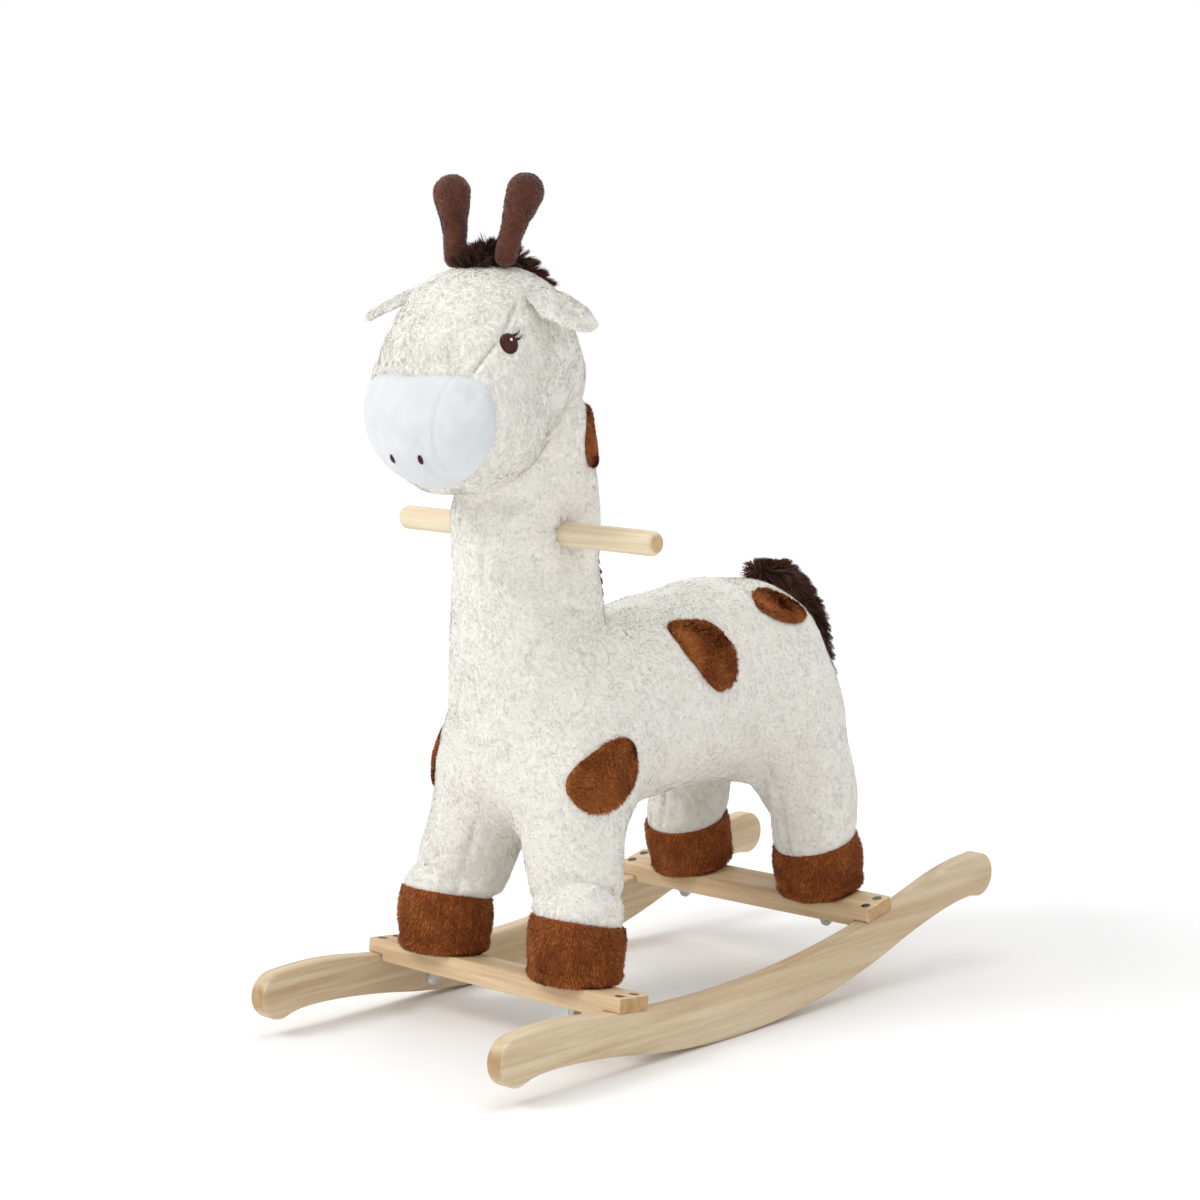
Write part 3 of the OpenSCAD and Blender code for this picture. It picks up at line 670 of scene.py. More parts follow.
softbox("key", (-1.0, -2.4, 2.4), 1.2, 40)
softbox("side", (2.6, -0.6, 1.7), 1.4, 2.5)
softbox("back", (-1.6, 2.2, 2.2), 1.6, 8)
softbox("overhead", (0.2, 0.1, 3.2), 2.6, 26)

floor_shape = bmesh.new()
bmesh.ops.create_grid(floor_shape, x_segments=24, y_segments=24, size=9)
floor_mesh = bpy.data.meshes.new("floor")
floor_shape.to_mesh(floor_mesh)
floor_shape.free()
floor = bpy.data.objects.new("floor", floor_mesh)
floor.location.z = -0.0005
scene.collection.objects.link(floor)
paper, nodes, links, shader = material("studio_paper")
where = nodes.new("ShaderNodeTexCoord").outputs["Object"]
tint = noise_node(nodes, links, where, 2.0, 2)
links.new(ramp(nodes, links, tint, [(0.3, (0.93, 0.93, 0.93, 1)), (0.7, (0.95, 0.95, 0.95, 1))]),
          shader.inputs["Base Color"])
shader.inputs["Roughness"].default_value = 0.85
shader.inputs["Specular IOR Level"].default_value = 0.1
distance = nodes.new("ShaderNodeVectorMath")
distance.operation = "LENGTH"
links.new(where, distance.inputs[0])
glow = nodes.new("ShaderNodeMapRange")
glow.interpolation_type = "SMOOTHSTEP"
glow.inputs["From Min"].default_value = 0.35
glow.inputs["From Max"].default_value = 1.8
glow.inputs["To Max"].default_value = 0.45
links.new(distance.outputs["Value"], glow.inputs["Value"])
shader.inputs["Emission Color"].default_value = (1, 1, 1, 1)
links.new(glow.outputs["Result"], shader.inputs["Emission Strength"])
floor.data.materials.append(paper)

# ---------- Stuffed shapes ----------

TORSO = [((0, -92, 244), (82, 66, 82)), ((0, -40, 245), (86, 70, 82)), ((0, 30, 248), (87, 70, 85.5)),
         ((0, 90, 249), (87, 70, 87.5)), ((0, 138, 244), (84, 68, 85))]
NECK = [((0, -98, 248), (82, 74, 78)), ((0, -113, 320), (58, 68, 50)), ((0, -113, 380), (52, 66, 40)),
        ((0, -111, 440), (53, 64, 40)), ((0, -120, 490), (58, 62, 46))]
HEAD = [((0, -150, 566), (68, 66, 49)), ((0, -158, 540), (75, 76, 58)), ((0, -178, 500), (67, 68, 54))]
NAPE = [((0, -146, 560), (66, 64, 50)), ((0, -126, 524), (66, 62, 50)), ((0, -178, 500), (67, 68, 54))]
LEG_R = 37.5
LEGS = [
    (FRONT_BAR_Y, ((63, -143, 130), (37, 38, 40)), ((45, -120, 200), (44, 50, 46))),
    (REAR_BAR_Y, ((70, 146, 135), (37, 38, 40)), ((52, 138, 205), (45, 50, 48))),
]
MUZZLE_MIDDLE, MUZZLE_HALF = (-255, 478), (44, 63)
BASE_SHRINK = -2.5


def leg_lumps(bar_y, knee, hip):
    ring = (LEG_R,) * 3
    return [(seat_point(bar_y, 73, 6, 20 - BAR_END_T), ring), (seat_point(bar_y, 73, 6, 47), ring), knee, hip]


def flip(lumps):
    return [(np.array(c, float) * [-1, 1, 1], r) for c, r in lumps]


def body_field(step):
    """The torso, neck and four legs, cut off just inside the hooves."""
    f = Field((-118, -225, 60), (118, 228, 512), step)
    d = join(f.chain(TORSO, BASE_SHRINK), f.chain(NECK, BASE_SHRINK), 26)
    points = f.points()
    for bar_y, knee, hip in LEGS:
        lumps = leg_lumps(bar_y, knee, hip)
        for side in (lumps, flip(lumps)):
            d = join(d, f.chain(side, BASE_SHRINK), 30)
        a = math.asin(bar_y / TOP_RADIUS)
        face = seat_point(bar_y, 0, 0, 10)
        under = -((points - face) @ [0, -math.sin(a), math.cos(a)])
        near = np.abs(points[..., 1] - bar_y) < 110
        d = np.where(near, np.maximum(d, under), d)
    return f, d


def head_field(step):
    f = Field((-92, -262, 430), (92, -40, 632), step)
    d = join(f.chain(HEAD, BASE_SHRINK), f.chain(NAPE, BASE_SHRINK), 12)
    cheeks = [((sx * 34, -190, 512), (38, 42, 44)) for sx in (-1, 1)]
    for c, r in cheeks:
        d = join(d, ellipsoid(f.points(), np.array(c, float), np.array(r, float) + BASE_SHRINK), 14)
    return f, d


def in_muzzle(level):
    """Signed distance, in the head's side view, to the outline of the sewn-in muzzle panel."""
    y, z = level[:, 1] - MUZZLE_MIDDLE[0], level[:, 2] - MUZZLE_MIDDLE[1]
    r = 42 - 24 * np.clip((z - 5) / 20, 0, 1)
    qy, qz = np.abs(y) - MUZZLE_HALF[0] + r, np.abs(z) - MUZZLE_HALF[1] + r
    return np.hypot(np.maximum(qy, 0), np.maximum(qz, 0)) + np.minimum(np.maximum(qy, qz), 0) - r


def groove(level, normal, distance, depth, width):
    """Moves points inwards along the normal by a soft groove around distance 0."""
    return level - normal * (depth * np.exp(-(distance / width) ** 2))[:, None]


def plush_body(name, field_of, step, cap, held):
    """A stuffed skin: its shape, then cloth under pressure, then one subdivision. In level millimetres."""
    f, d = field_of(step)
    verts, quads = surface(f, d)
    obj = new_mesh(name, verts / 1000, quads)
    relax(obj, 3)
    inflate(obj, 4.0, cap / 1000, held(coords(obj) * 1000))
    subdivide(obj)
    relax(obj, 1, 0.4)
    return obj


def body_held(level):
    """Points on the body that its seams and fixings hold: in the hooves, at the handle and under the head."""
    low = level[:, 2] < 112 + 0.0 * level[:, 0]
    head = np.linalg.norm((level - [0, -150, 520]) / [60, 60, 42], axis=1) < 1
    around = np.hypot(level[:, 1] - HANDLE[1], level[:, 2] - HANDLE[2]) < 16
    return low | head | (around & (np.abs(level[:, 0]) > 30))


FRONT_SEAM = [(15, -174, 370), (15, -173, 400), (16, -172, 439)]
LEG_SEAM = [(-9, -164, 217), (-19, -160, 197), (-23, -162, 181), (-30, -166, 156), (-37, -170, 132),
            (-44, -172, 112)]
REAR_SEAM = [(64, 95, 181), (67, 101, 156), (67, 108, 132), (73, 106, 106)]
CHEEK_SEAM = [(57, -173, 589), (59, -185, 576), (59, -196, 565), (54, -208, 553), (50, -217, 543)]
MUZZLE_SEAM = [(39, 545), (33, 528), (29, 505), (28, 480), (31, 455), (39, 434)]
JAW_CREASE = [(60, -194, 474), (65, -178, 479), (62, -153, 483), (56, -129, 487)]


def both(line):
    return [np.array(line, float), mirrored(line)]


def seams(level, normal, lines, depth, width):
    for line in lines:
        distance = along(level, line)
        level = groove(level, normal, distance, depth, width)
    return level


def clumps(level, seed, amount):
    """Small rises and dips of matted pile."""
    return amount * (0.6 * noise(level, 9.0, seed) + 0.4 * noise(level, 4.0, seed + 1))


def hoof_top(bar_y, side, angle):
    """Height of a hoof's top edge over its bar, which follows the slant of the leg."""
    if bar_y < 0:
        return 45 - 5 * np.sin(angle)
    return 43 + 2 * np.sin(angle) + 1.5 * side * np.cos(angle)


def slim_in_hooves(level):
    """Draws the legs in where the hoof cuffs go round them."""
    level = level.copy()
    side = np.sign(level[:, 0])
    for bar_y in (FRONT_BAR_Y, REAR_BAR_Y):
        a = math.asin(bar_y / TOP_RADIUS)
        y, z = level[:, 1] - bar_y, level[:, 2] - seat_z(bar_y)
        along_y, up = y * math.cos(a) + z * math.sin(a), z * math.cos(a) - y * math.sin(a)
        out_x, out_y = level[:, 0] - side * 73, along_y - 6
        r = np.hypot(out_x, out_y) + 1e-9
        low = hoof_top(bar_y, side, np.arctan2(out_y, out_x)) + 1 - up
        held = np.clip((low + 7) / 7, 0, 1) * (np.abs(y) < 80) * (r < 60)
        pull = held * np.maximum(r - 33.8, 0) / r
        level[:, 0] -= pull * out_x
        level[:, 1] -= pull * out_y * math.cos(a)
        level[:, 2] -= pull * out_y * math.sin(a)
    return level


def finish_body(obj):
    level = coords(obj) * 1000
    normal = vertex_normals(obj)
    level = seams(level, normal, both(FRONT_SEAM) + both(LEG_SEAM) + both(REAR_SEAM), 3.0, 3.0)
    spine = np.where(level[:, 2] < 200, np.abs(level[:, 0]), 99)
    level = groove(level, normal, spine, 2.5, 3.0)
    handle_z = HANDLE[2] - math.tan(HANDLE_TILT) * level[:, 0]
    around = np.hypot(level[:, 1] - HANDLE[1], level[:, 2] - handle_z)
    angle = np.arctan2(level[:, 2] - HANDLE[2], level[:, 1] - HANDLE[1])
    pucker = 1 + 0.25 * np.cos(9 * angle + noise(level, 12, 5))
    level = level - normal * (9 * pucker * np.exp(-(around / 17) ** 2))[:, None]
    level = level + normal * clumps(level, 11, 0.7)[:, None]
    level = slim_in_hooves(level + normal * (1.4 * noise(level, 34, 17))[:, None])
    set_coords(obj, row(level))


def finish_head(obj):
    level = coords(obj) * 1000
    normal = vertex_normals(obj)
    level = seams(level, normal, both(CHEEK_SEAM), 3.2, 2.2)
    level = seams(level, normal, both(JAW_CREASE), 2.0, 4.0)
    edge = in_muzzle(level)
    level = groove(level, normal, edge, 1.8, 2.2)
    front = np.column_stack([np.abs(level[:, 0]), level[:, 2]])
    panel = along(front, np.array(MUZZLE_SEAM, float)) + 50 * (level[:, 1] > -205)
    level = groove(level, normal, panel, 0.7, 1.3)
    level = level + normal * (clumps(level, 21, 0.5) * (edge > 0))[:, None]
    level = level + normal * (0.7 * noise(level, 30, 27) * (edge > 0))[:, None]
    for side in (-1, 1):
        socket = np.linalg.norm(level - [side * 66, -192, 560], axis=1)
        level = groove(level, normal, socket, 1.5, 9)
    set_coords(obj, row(on_head(level)))


body = plush_body("body_plush", body_field, 4.6, 4.5, body_held)
finish_body(body)
body.data.materials.append(CREAM)
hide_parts("body_cover", "body_stuffing")
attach(body, "root")

head = plush_body("head_plush", head_field, 3.6, 3.5,
                  lambda p: (np.abs(in_muzzle(p)) < 4) | (np.linalg.norm((p - [0, -118, 470]) / [60, 60, 40],
                                                                         axis=1) < 1))
finish_head(head)


def part_of(obj, name, keep):
    """A copy of obj with only the faces whose middles keep() accepts."""
    mesh = obj.data
    n = len(mesh.polygons)
    centres = np.empty(n * 3, np.float32)
    mesh.polygons.foreach_get("center", centres)
    wanted = keep(centres.reshape(-1, 3).astype(float))
    loops = np.empty(len(mesh.loops), np.int32)
    mesh.loops.foreach_get("vertex_index", loops)
    faces = loops.reshape(n, -1)[wanted]
    used, index = np.unique(faces, return_inverse=True)
    return new_mesh(name, coords(obj)[used], index.reshape(faces.shape))


def level_of(points):
    """Row metres back to level millimetres."""
    p = np.asarray(points, float) * 1000
    c, s = math.cos(REST_PITCH), math.sin(REST_PITCH)
    y, z = p[:, 1] - NOSE_Z * s, p[:, 2] - SOLE_RADIUS * (math.cos(REST_PITCH / 3) - c)
    return np.stack([p[:, 0], y * c + z * s, -y * s + z * c], 1)


def head_level(points):
    return turn_z(level_of(points), -HEAD_TURN, HEAD_TURN_Y)


muzzle = part_of(head, "muzzle_velour", lambda p: in_muzzle(head_level(p)) < 0)
muzzle.data.materials.append(VELOUR)
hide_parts("muzzle_cover")
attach(muzzle, "root")
head_skin = part_of(head, "head_skin", lambda p: in_muzzle(head_level(p)) >= 0)
head_tree = tree_of(head)
body_tree = tree_of(body)
bpy.data.objects.remove(head)
head_skin.data.materials.append(CREAM)
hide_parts("head_cover", "head_stuffing")
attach(head_skin, "root")

# ---------- Pieces sewn onto the skin ----------


def cast(tree, origins, direction):
    """Where rays from the row points hit the skin, with the normals there."""
    hits, normals = [], []
    step = Vector(direction)
    for p in origins:
        at, normal, _, _ = tree.ray_cast(Vector(p), step)
        if at is None:
            at, normal, _, _ = tree.find_nearest(Vector(p) + step * 0.1)
        hits.append(at)
        normals.append(normal)
    return np.array(hits), np.array(normals)


def smooth_loop(points, steps):
    """Points of a smooth closed curve through the given ones."""
    p = np.array(points, float)
    a, b, c, d = np.roll(p, 1, 0), p, np.roll(p, -1, 0), np.roll(p, -2, 0)
    t = (np.arange(steps) / steps)[None, :, None]
    a, b, c, d = (q[:, None] for q in (a, b, c, d))
    curve = 2 * b + t * (c - a) + t ** 2 * (2 * a - 5 * b + 4 * c - d) + t ** 3 * (3 * b - a - 3 * c + d)
    return (curve / 2).reshape(-1, p.shape[1])


def disc_faces(rings, around):
    """Triangles of a fan and then bands of a disc whose vertex 0 is its middle."""
    k = np.arange(around)
    after = (k + 1) % around
    faces = [np.stack([np.zeros_like(k), 1 + k, 1 + after], 1)]
    for i in range(rings - 1):
        a, b = 1 + i * around, 1 + (i + 1) * around
        faces += [np.stack([a + k, b + k, b + after], 1), np.stack([a + k, b + after, a + after], 1)]
    return np.concatenate(faces)


def applique(name, tree, loop, towards, height, rings=12):
    """A padded patch on the skin under a closed loop of row points, seen from where the rays start."""
    middle = loop.mean(0)
    scales = np.linspace(1 / rings, 1, rings)
    starts = np.concatenate([[middle]] + [middle + s * (loop - middle) for s in scales])
    hits, normals = cast(tree, starts, towards)
    from_middle = np.concatenate([[0], np.repeat(scales, len(loop))])
    rise = height * np.clip((1.0 - from_middle) * rings * 0.55, 0.12, 1) ** 0.5
    verts, faces = hits + normals * rise[:, None], disc_faces(rings, len(loop))
    a, b, c = (verts[faces[:, i]] for i in range(3))
    if (np.cross(b - a, c - a) * normals[faces[:, 0]]).sum() < 0:
        faces = faces[:, ::-1]
    return new_mesh(name, verts, faces)


PATCHES = {
    "shoulder": [(-157, 216), (-148, 235), (-118, 250), (-98, 244), (-98, 219), (-118, 202), (-145, 198)],
    "back": [(-8, 314), (14, 318), (36, 312), (43, 295), (33, 273), (15, 264), (2, 270), (-9, 294)],
    "rump": [(98, 315), (108, 324), (132, 324), (152, 312), (156, 301), (138, 297), (114, 303)],
    "neck": [(-98, 472), (-92, 492), (-76, 504), (-62, 494), (-60, 470), (-74, 456), (-90, 457)],
}
patches = []
for patch_name, outline in PATCHES.items():
    loop = smooth_loop(outline, 14)
    for side, side_name in ((1, "left"), (-1, "right")):
        starts = row(np.column_stack([np.full(len(loop), side * 200.0), loop]))
        obj = applique(f"{side_name}_{patch_name}_patch_plush", body_tree, starts, (-side, 0, 0), 0.0022)
        obj.data.materials.append(BROWN)
        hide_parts(f"{side_name}_{patch_name}_patch")
        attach(obj, "root")
        patches.append(obj)

# ---------- Hooves ----------


def hoof(name, bar_y, side):
    """A padded cuff with a rolled sole; its top follows the slant of the leg."""
    around, profile = 120, []
    for a in np.linspace(-90, 35, 12):
        a = math.radians(a)
        profile.append((29 + 7.6 * math.cos(a), 6.6 + 6.4 * math.sin(a), 0.0))
    for t in np.linspace(0.06, 1, 16):
        profile.append((35.6 + 0.8 * t + 1.6 * math.sin(math.pi * min(1, t * 1.05)), 11.0, t))
    for a in np.linspace(20, 170, 7):
        a = math.radians(a)
        profile.append((35.2 + 1.6 * math.cos(a), 11.0 + 1.8 * math.sin(a), 1.0))
    profile.append((32.5, 6.0, 1.0))
    angle = np.arange(around) * 2 * math.pi / around
    rings = []
    for r, h, t in profile:
        z = h + t * (hoof_top(bar_y, side, angle) - 11)
        ribs = 0.35 * np.cos(26 * angle + 2 * np.sin(3 * angle)) * (t > 0)
        p = np.stack([np.cos(angle) * 40, np.sin(angle) * 40, z], 1)
        radius = r + ribs + 1.0 * noise(p + side * 100 + bar_y, 14, 31)
        rings.append(np.stack([side * 73 + radius * np.cos(angle), 6 + radius * np.sin(angle), z], 1))
    centre = np.array([[side * 73, 6, 0.3]])
    local = np.concatenate([centre] + rings)
    a = math.asin(bar_y / TOP_RADIUS)
    level = np.stack([
        local[:, 0],
        bar_y + local[:, 1] * math.cos(a) - local[:, 2] * math.sin(a),
        seat_z(bar_y) + local[:, 1] * math.sin(a) + local[:, 2] * math.cos(a),
    ], 1)
    obj = new_mesh(f"{name}_plush", row(level), disc_faces(len(profile), around)[:, ::-1])
    obj.data.materials.append(BROWN)
    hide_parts(name)
    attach(obj, "root")
    return obj


hooves = [hoof(f"{end}_{which}_hoof", bar_y, side)
          for end, bar_y in (("front", FRONT_BAR_Y), ("rear", REAR_BAR_Y))
          for which, side in (("left", 1), ("right", -1))]

# ---------- Ears, horns, mane and tail ----------


def stuffed(name, lumps, step, grow=-0.6, rounds=2):
    """A smooth skin over a chain of lumps, in the lumps' own millimetres."""
    centres = np.array([c for c, r in lumps], float)
    halves = np.array([r for c, r in lumps], float)
    f = Field((centres - halves).min(0) - 4, (centres + halves).max(0) + 4, step)
    d = f.chain(lumps, grow, steps=14, reach=14)
    verts, quads = surface(f, d)
    obj = new_mesh(name, verts, quads)
    relax(obj, rounds)
    subdivide(obj)
    return obj


def rotated(points, axis, degrees):
    a = math.radians(degrees)
    u, v = [i for i in range(3) if i != axis]
    if axis == 1:
        a = -a
    p = np.array(points, float)
    pu = p[:, u] * math.cos(a) - p[:, v] * math.sin(a)
    pv = p[:, u] * math.sin(a) + p[:, v] * math.cos(a)
    p[:, u], p[:, v] = pu, pv
    return p


def flipped(obj):
    obj.data.flip_normals()
    return obj


EAR = [((7, 0, 0), (4, 12, 4)), ((25, 0, 1), (6, 18, 4)), ((44, 0, 0), (8, 17, 4)), ((60, 0, -2), (6, 9, 4))]
HORN = [((0, 0, 5), (9.5, 9.5, 8)), ((2, 3, 22), (9.5, 9.5, 9.5)), ((5, 6, 36), (11, 11, 11)),
        ((9, 10, 54), (15, 14.5, 15))]
ears, horns = [], []
for side, which, droop, lean in ((1, "left", 26, 6), (-1, "right", 17, 0)):
    ear = stuffed(f"{which}_ear_plush", EAR, 1.7)
    p = coords(ear)
    hollow = np.exp(-(((p[:, 0] - 34) / 24) ** 2 + (p[:, 1] / 10) ** 2))
    p[:, 2] += 2.2 * hollow * (p[:, 2] < 0) - 0.5 * hollow * (p[:, 2] > 0) - 0.010 * p[:, 1] ** 2
    p += vertex_normals(ear) * (0.5 * noise(p + 50 * side, 7, 41))[:, None]
    level = rotated(rotated(p, 0, 18), 1, droop) + [54, -152, 598]
    set_coords(ear, row(on_head(level if side > 0 else mirrored(level))))
    if side < 0:
        flipped(ear)
    ear.data.materials.append(CREAM)
    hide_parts(f"{which}_ear")
    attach(ear, f"{which}_ear")
    ears.append(ear)

    horn = stuffed(f"{which}_horn_velour", HORN, 2.0, rounds=4)
    p = coords(horn)
    p += vertex_normals(horn) * (0.5 * noise(p + 50 * side, 8, 43))[:, None]
    level = rotated(p, 1, lean) + [25, -146, 616]
    set_coords(horn, row(on_head(level if side > 0 else mirrored(level))))
    if side < 0:
        flipped(horn)
    horn.data.materials.append(HORN_VELOUR)
    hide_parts(f"{which}_horn")
    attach(horn, f"{which}_horn")
    horns.append(horn)

MANE = [((0, -160, 608), (12, 10, 10)), ((0, -138, 618), (12, 12, 12)), ((0, -112, 610), (12, 12, 12)),
        ((0, -88, 588), (12, 12, 12)), ((0, -72, 560), (11, 11, 11)), ((0, -58, 520), (11, 11, 11)),
        ((0, -50, 480), (11, 11, 11)), ((0, -46, 440), (11, 11, 11)), ((0, -46, 390), (11, 11, 11)),
        ((0, -42, 345), (11, 11, 11))]
mane = stuffed("mane_fur", MANE, 2.6, grow=-4)
level = coords(mane)
weight = np.clip((level[:, 2] - 470) / 60, 0, 1)[:, None]
set_coords(mane, row(level * (1 - weight) + on_head(level) * weight))
mane.data.materials.append(DARK)
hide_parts("mane")
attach(mane, "root")

TAIL = [((0, 168, 331), (12, 8, 7.5)), ((0, 196, 319), (18, 15, 15)), ((0, 222, 285), (18, 15, 15)),
        ((0, 236, 240), (15, 13, 13)), ((0, 236, 205), (10, 9, 9))]
tail = stuffed("tail_fur", TAIL, 2.6, grow=-4)
set_coords(tail, row(coords(tail)))
tail.data.materials.append(DARK)
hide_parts("tail")
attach(tail, "tail")

# ---------- Face ----------


def on_face(centre, turn, points):
    """Row points far in front of the face at flat (across, up) millimetres, and the way back to it."""
    a = math.radians(turn)
    out = np.array([-math.sin(a), math.cos(a), 0])
    across = np.array([-math.cos(a), -math.sin(a), 0]) * (1 if turn < 0 else -1)
    q = np.array(points, float)
    level = np.array(centre, float) + 110 * out + q[:, :1] * across + q[:, 1:] * [0, 0, 1]
    back = turn_z(-out, HEAD_TURN)
    return row(on_head(level)), row_direction(back)


def oval(width, height, turns=48):
    a = np.arange(turns) * 2 * math.pi / turns
    return np.stack([width * np.cos(a), height * np.sin(a)], 1)


def stitched(name, slot_node, centre, turn, points, height, mat, rings=6):
    loop, back = on_face(centre, turn, points)
    obj = applique(name, head_tree, loop, back, height, rings)
    obj.data.materials.append(mat)
    if slot_node:
        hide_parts(slot_node)
    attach(obj, "root")
    return obj


def lash(bend, start, reach, lift):
    """Outline of one tapering lash, from its root on the eye's rim to its tip."""
    t = np.linspace(0, 1, 12)
    x = start[0] + reach * t
    y = start[1] + lift * t ** 1.6 + bend * np.sin(math.pi * t)
    half = 0.75 * (1 - t) ** 0.8 + 0.12
    return np.concatenate([np.stack([x, y + half], 1), np.stack([x, y - half], 1)[::-1]])


for side, which in ((1, "left"), (-1, "right")):
    turn = -120 * side
    at = (0, -154, 560)
    stitched(f"{which}_eye_stitch", f"{which}_eye", at, turn, oval(6.8, 7.5), 0.0016, THREAD)
    stitched(f"{which}_eye_light", None, at, turn, oval(1.3, 1.5) + [2.0, 2.6], 0.0026, WHITE_THREAD, 3)
    for i, shape in enumerate((lash(-0.8, (3.5, 5.5), 7.5, 5.0), lash(-0.8, (5.3, 2.6), 7.0, 3.6))):
        stitched(f"{which}_lash_{i}", None, at, turn, shape * [1, 1], 0.0022, THREAD, 3)
eyes = [o for o in scene.objects if o.name.endswith("_eye_stitch")]
for side in (-1, 1):
    stitched(f"nostril_stitch_{side + 2}", None, (side * 13.5, -178, 479), 180, oval(1.9, 3.6),
                         0.0016, THREAD, 4)
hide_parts("nostrils")

# ---------- Wood ----------


def bezier(p, n):
    t = np.linspace(0, 1, n + 1)[:, None]
    a, b, c, d = (np.array(q, float) for q in p)
    return (1 - t) ** 3 * a + 3 * (1 - t) ** 2 * t * b + 3 * (1 - t) * t ** 2 * c + t ** 3 * d


def rocker_outline():
    """The rocker's side view, level: a circular sole, rounded ends and a hollow top edge."""
    nose_y, nose_r, top_end, start = 289, 19, 215, math.radians(-110)
    end = 5 * 2 * REST_PITCH / 3
    a = np.linspace(0, end, 24)
    sole = SOLE_RADIUS * np.stack([np.sin(a), 1 - np.cos(a)], 1)
    slope = np.array([math.cos(end), math.sin(end)])
    under_end = np.array([nose_y + nose_r * math.cos(start), NOSE_Z + nose_r * math.sin(start)])
    under_slope = np.array([-math.sin(start), math.cos(start)])
    under = bezier([sole[-1], sole[-1] + 32 * slope, under_end - 20 * under_slope, under_end], 12)[1:]
    a = np.linspace(start, math.pi / 2, 28)[1:]
    tip = np.stack([nose_y + nose_r * np.cos(a), NOSE_Z + nose_r * np.sin(a)], 1)

    def top(y):
        return BAND_H + TOP_RADIUS - np.sqrt(TOP_RADIUS ** 2 - y ** 2)

    over = bezier([tip[-1], tip[-1] - [27, -0.5], [240, top(240.0) - 1], [top_end, top(top_end)]], 12)[1:]
    y = np.linspace(top_end, 0, 22)[1:]
    half = np.concatenate([sole, under, tip, over, np.stack([y, top(y)], 1)])
    return np.concatenate([half, half[-2:0:-1] * [-1, 1]])


def rounded_board(name, outline, x0, x1, width):
    """A board cut to a side view, lying in X from x0 to x1, with softly rounded edges."""
    bm = bmesh.new()
    ring = [bm.verts.new((x0, *p)) for p in outline]
    face = bm.faces.new(ring)
    made = bmesh.ops.extrude_face_region(bm, geom=[face])
    moved = [g for g in made["geom"] if isinstance(g, bmesh.types.BMVert)]
    bmesh.ops.translate(bm, vec=(x1 - x0, 0, 0), verts=moved)
    bmesh.ops.recalc_face_normals(bm, faces=bm.faces)
    rims = [e for e in bm.edges if abs(e.verts[0].co.x - e.verts[1].co.x) < 1e-6]
    bmesh.ops.bevel(bm, geom=rims, offset=width, segments=4, profile=0.5, affect="EDGES")
    mesh = bpy.data.meshes.new(name)
    bm.to_mesh(mesh)
    bm.free()
    obj = bpy.data.objects.new(name, mesh)
    scene.collection.objects.link(obj)
    for p in mesh.polygons:
        p.use_smooth = len(p.vertices) < 8
    return obj


def soft_edges(node, width, segments=3):
    """A copy of a CAD node with its long edges rounded."""
    bm = bmesh.new()
    bm.from_mesh(frame["nodes"][node].data)
    bmesh.ops.remove_doubles(bm, verts=bm.verts, dist=1e-6)
    bmesh.ops.dissolve_limit(bm, angle_limit=0.01, verts=bm.verts, edges=bm.edges)
    long = [e for e in bm.edges if e.calc_length() > 0.004 and len(e.link_faces) == 2
            and e.calc_face_angle(0) > 0.7]
    bmesh.ops.bevel(bm, geom=long, offset=width, segments=segments, profile=0.5, affect="EDGES",
                    clamp_overlap=True)
    mesh = bpy.data.meshes.new(f"{node}_wood")
    bm.to_mesh(mesh)
    bm.free()
    obj = bpy.data.objects.new(f"{node}_wood", mesh)
    scene.collection.objects.link(obj)
    return obj


def wooden(obj, node, mat):
    obj.data.materials.append(mat)
    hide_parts(node)
    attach(obj, "root")


for which, x0, x1 in (("left", 124, 140), ("right", -140, -124)):
    board = rounded_board(f"{which}_rocker_wood", rocker_outline(), x0, x1, 2.6)
    set_coords(board, row(coords(board)))
    wooden(board, f"{which}_rocker", ROCKER_WOOD)
for end in ("front", "rear"):
    wooden(soft_edges(f"{end}_crossbar", 0.0013), f"{end}_crossbar", BAR_WOOD)

a = np.linspace(-math.pi / 2, 0, 9)
rim = np.stack([9.75 + 6 * (np.cos(a) - 1), -138.5 + 6 * (np.sin(a) + 1)], 1)
shaft = [(9.75, z) for z in np.linspace(-125, 125, 11)]
verts, quads = lathe([(0.01, -138.5), *rim, *shaft, *(rim[::-1] * [1, -1]), (0.01, 138.5)], 72)
dowel = new_mesh("handle_dowel_wood", verts, quads[:, ::-1])
level = rotated(coords(dowel), 1, 90 + math.degrees(HANDLE_TILT)) + HANDLE
set_coords(dowel, row(level))
wooden(dowel, "handle_dowel", DOWEL_WOOD)

FINISHES = {
    "leg_post": (TIMBER, "frame_timber"), "block": (TIMBER, "frame_timber"), "board": (PLYWOOD, "plywood"),
    "bracket": (ZINC, "zinc_steel"), "studs": (ZINC, "zinc_steel"), "washers": (ZINC, "zinc_steel"),
    "cap_nuts": (ZINC, "zinc_steel"), "screw": (SCREW, "screw_steel"), "screws": (SCREW, "screw_steel"),
}
for node_name, node in frame["nodes"].items():
    for ending, (mat, slot_name) in FINISHES.items():
        if node_name.endswith(ending) and not node.hide_render:
            node.data.materials.clear()
            node.data.materials.append(mat)

# ---------- Pile ----------


def coat(name, surfaces, count, body_name, slot_name, **style):
    obj = fibres(name, surfaces, count, **style)
    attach(obj, body_name)
    return obj


SHORT = dict(length=0.0028, width=0.0006, lean=3.6, clump=0.15, clump_size=4.5, spread=0.3)


def bare(centre_tests):
    return lambda p: np.prod([t(p) for t in centre_tests], axis=0)


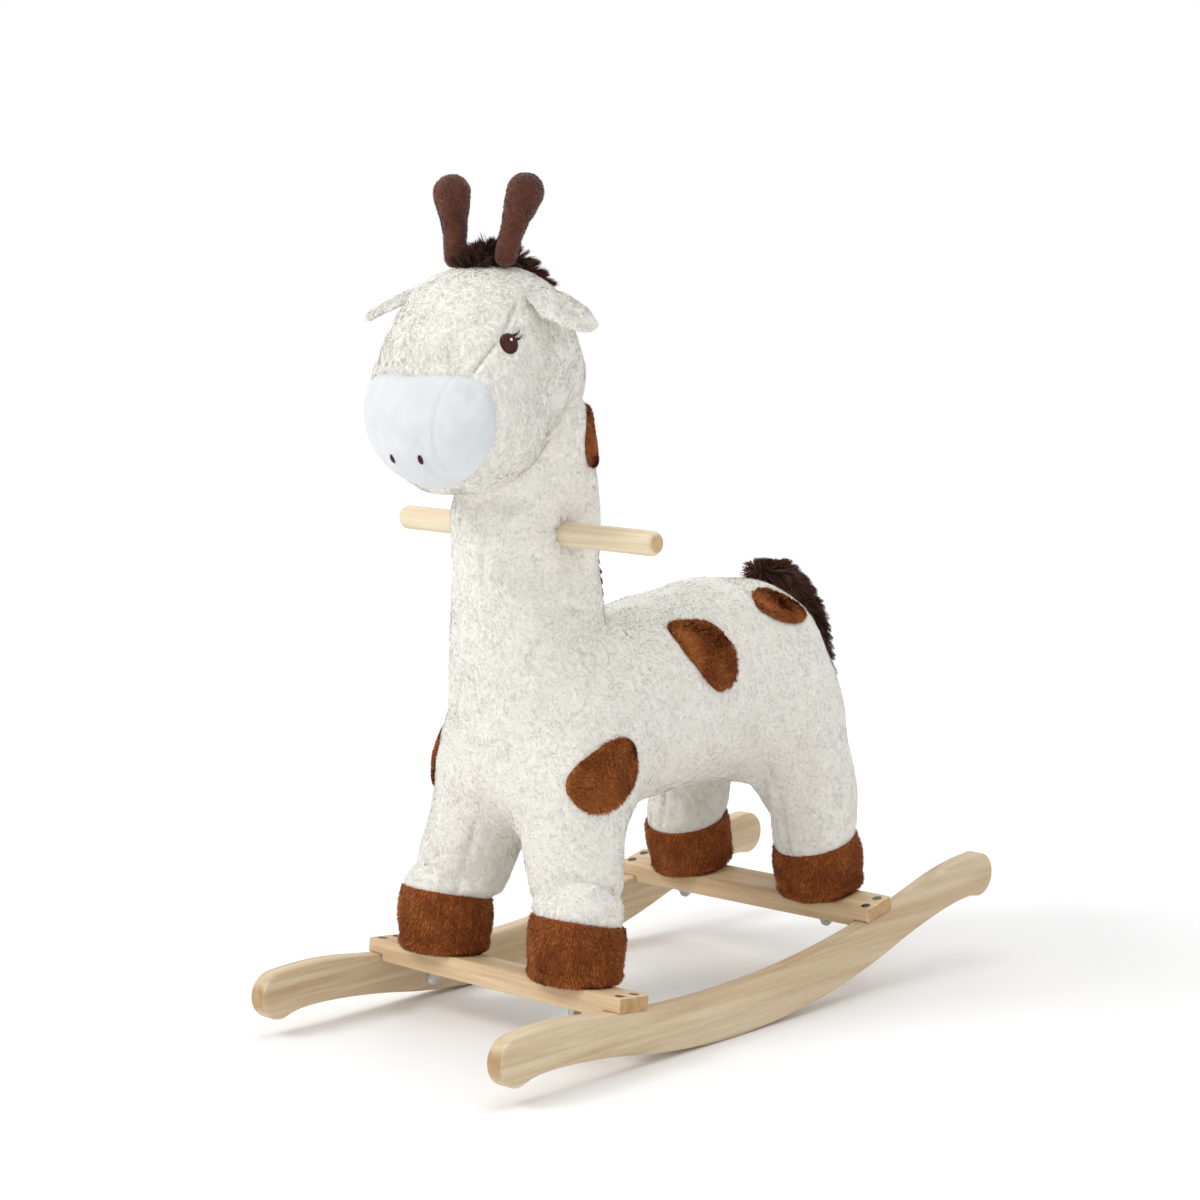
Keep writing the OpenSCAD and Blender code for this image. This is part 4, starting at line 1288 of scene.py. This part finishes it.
def above_hooves(p):
    level = level_of(p)
    side = np.sign(level[:, 0])
    kept = np.ones(len(p))
    for bar_y in (FRONT_BAR_Y, REAR_BAR_Y):
        a = math.asin(bar_y / TOP_RADIUS)
        y, z = level[:, 1] - bar_y, level[:, 2] - seat_z(bar_y)
        forward, up = y * math.cos(a) + z * math.sin(a), z * math.cos(a) - y * math.sin(a)
        angle = np.arctan2(forward - 6, level[:, 0] - side * 73)
        kept *= (up > hoof_top(bar_y, side, angle) + 2.5) | (np.abs(y) > 110)
    return kept


def inside(loop, points):
    """Whether flat points are in a closed loop."""
    a, b = loop, np.roll(loop, -1, 0)
    held = np.zeros(len(points), bool)
    for (x0, y0), (x1, y1) in zip(a, b):
        crosses = (y0 > points[:, 1]) != (y1 > points[:, 1])
        held ^= crosses & (points[:, 0] < (x1 - x0) * (points[:, 1] - y0) / (y1 - y0 + 1e-12) + x0)
    return held


def off_patches(p):
    level = level_of(p)
    covered = np.zeros(len(p), bool)
    for outline in PATCHES.values():
        covered |= inside(smooth_loop(outline, 6), level[:, 1:])
    return np.where(covered & (np.abs(level[:, 0]) > 15), 0.0, 1.0)


def off_seams(lines, level_from, width=1.1):
    """Keeps the pile thin right on the seams."""
    def test(p):
        level = level_from(p)
        near = np.min([along(level, line) for line in lines], axis=0)
        return np.where(near < width, 0.15, 1.0)
    return test


def off_eyes(p):
    level = head_level(p)
    flat = np.hypot(np.abs(level[:, 0]) - 64, level[:, 2] - 560)
    d = np.minimum.reduce([np.linalg.norm(p - coords(e).mean(0), axis=1) for e in eyes])
    return np.where((d < 0.0072) & (flat < 40), 0.0, 1.0)


def outside_head(p):
    level = head_level(p)
    return (np.linalg.norm((level - [0, -158, 540]) / [66, 66, 50], axis=1) > 1).astype(float)


coat("body_pile", [body], 185000, "root", "cream_plush", materials=CREAM_PILE, seed=1,
     keep=bare([above_hooves, outside_head, off_patches,
                off_seams(both(FRONT_SEAM) + both(LEG_SEAM) + both(REAR_SEAM), level_of)]), **SHORT)
coat("head_pile", [head_skin], 80000, "root", "cream_plush", materials=CREAM_PILE, seed=2,
     keep=bare([off_eyes, off_seams(both(CHEEK_SEAM), head_level)]), **SHORT)
for ear, which in zip(ears, ("left", "right")):
    coat(f"{which}_ear_pile", [ear], 9000, f"{which}_ear", "cream_plush", materials=CREAM_PILE, seed=3,
         **SHORT)
for horn, which in zip(horns, ("left", "right")):
    coat(f"{which}_horn_nap", [horn], 9000, f"{which}_horn", "horn_velour", materials=HORN_PILE, seed=4,
         length=0.0014, width=0.0005, lean=1.0)


def downwards(p):
    return np.tile([0.0, 0.0, -1.0], (len(p), 1))


coat("patch_pile", patches, 60000, "root", "brown_plush", materials=PATCH_PILE, seed=5,
     length=0.0042, width=0.0008, lean=1.6, clump=0.35, clump_size=4, spread=0.45)
coat("hoof_pile", hooves, 70000, "root", "brown_plush", materials=BROWN_PILE, seed=6, comb=downwards,
     length=0.0032, width=0.0007, lean=1.3, clump=0.4, clump_size=4, spread=0.35)

FORELOCK_Z = 0.585


def on_top(p):
    return (p[:, 2] > FORELOCK_Z).astype(float)


def on_neck(p):
    return 1 - on_top(p)


HAIR = dict(materials=DARK_FUR, joints=3, clump=0.72, clump_size=8, width=0.0012, spread=0.6)
coat("forelock_hair", [mane], 9000, "root", "dark_fur", seed=7, length=0.019, lean=0.5, droop=0.05,
     keep=on_top, **HAIR)
coat("mane_hair", [mane], 14000, "root", "dark_fur", seed=9, length=0.0075, lean=0.9, droop=0.2,
     keep=on_neck, **HAIR)
coat("tail_hair", [tail], 16000, "tail", "dark_fur", seed=8, length=0.021, lean=0.6, droop=0.3, **HAIR)
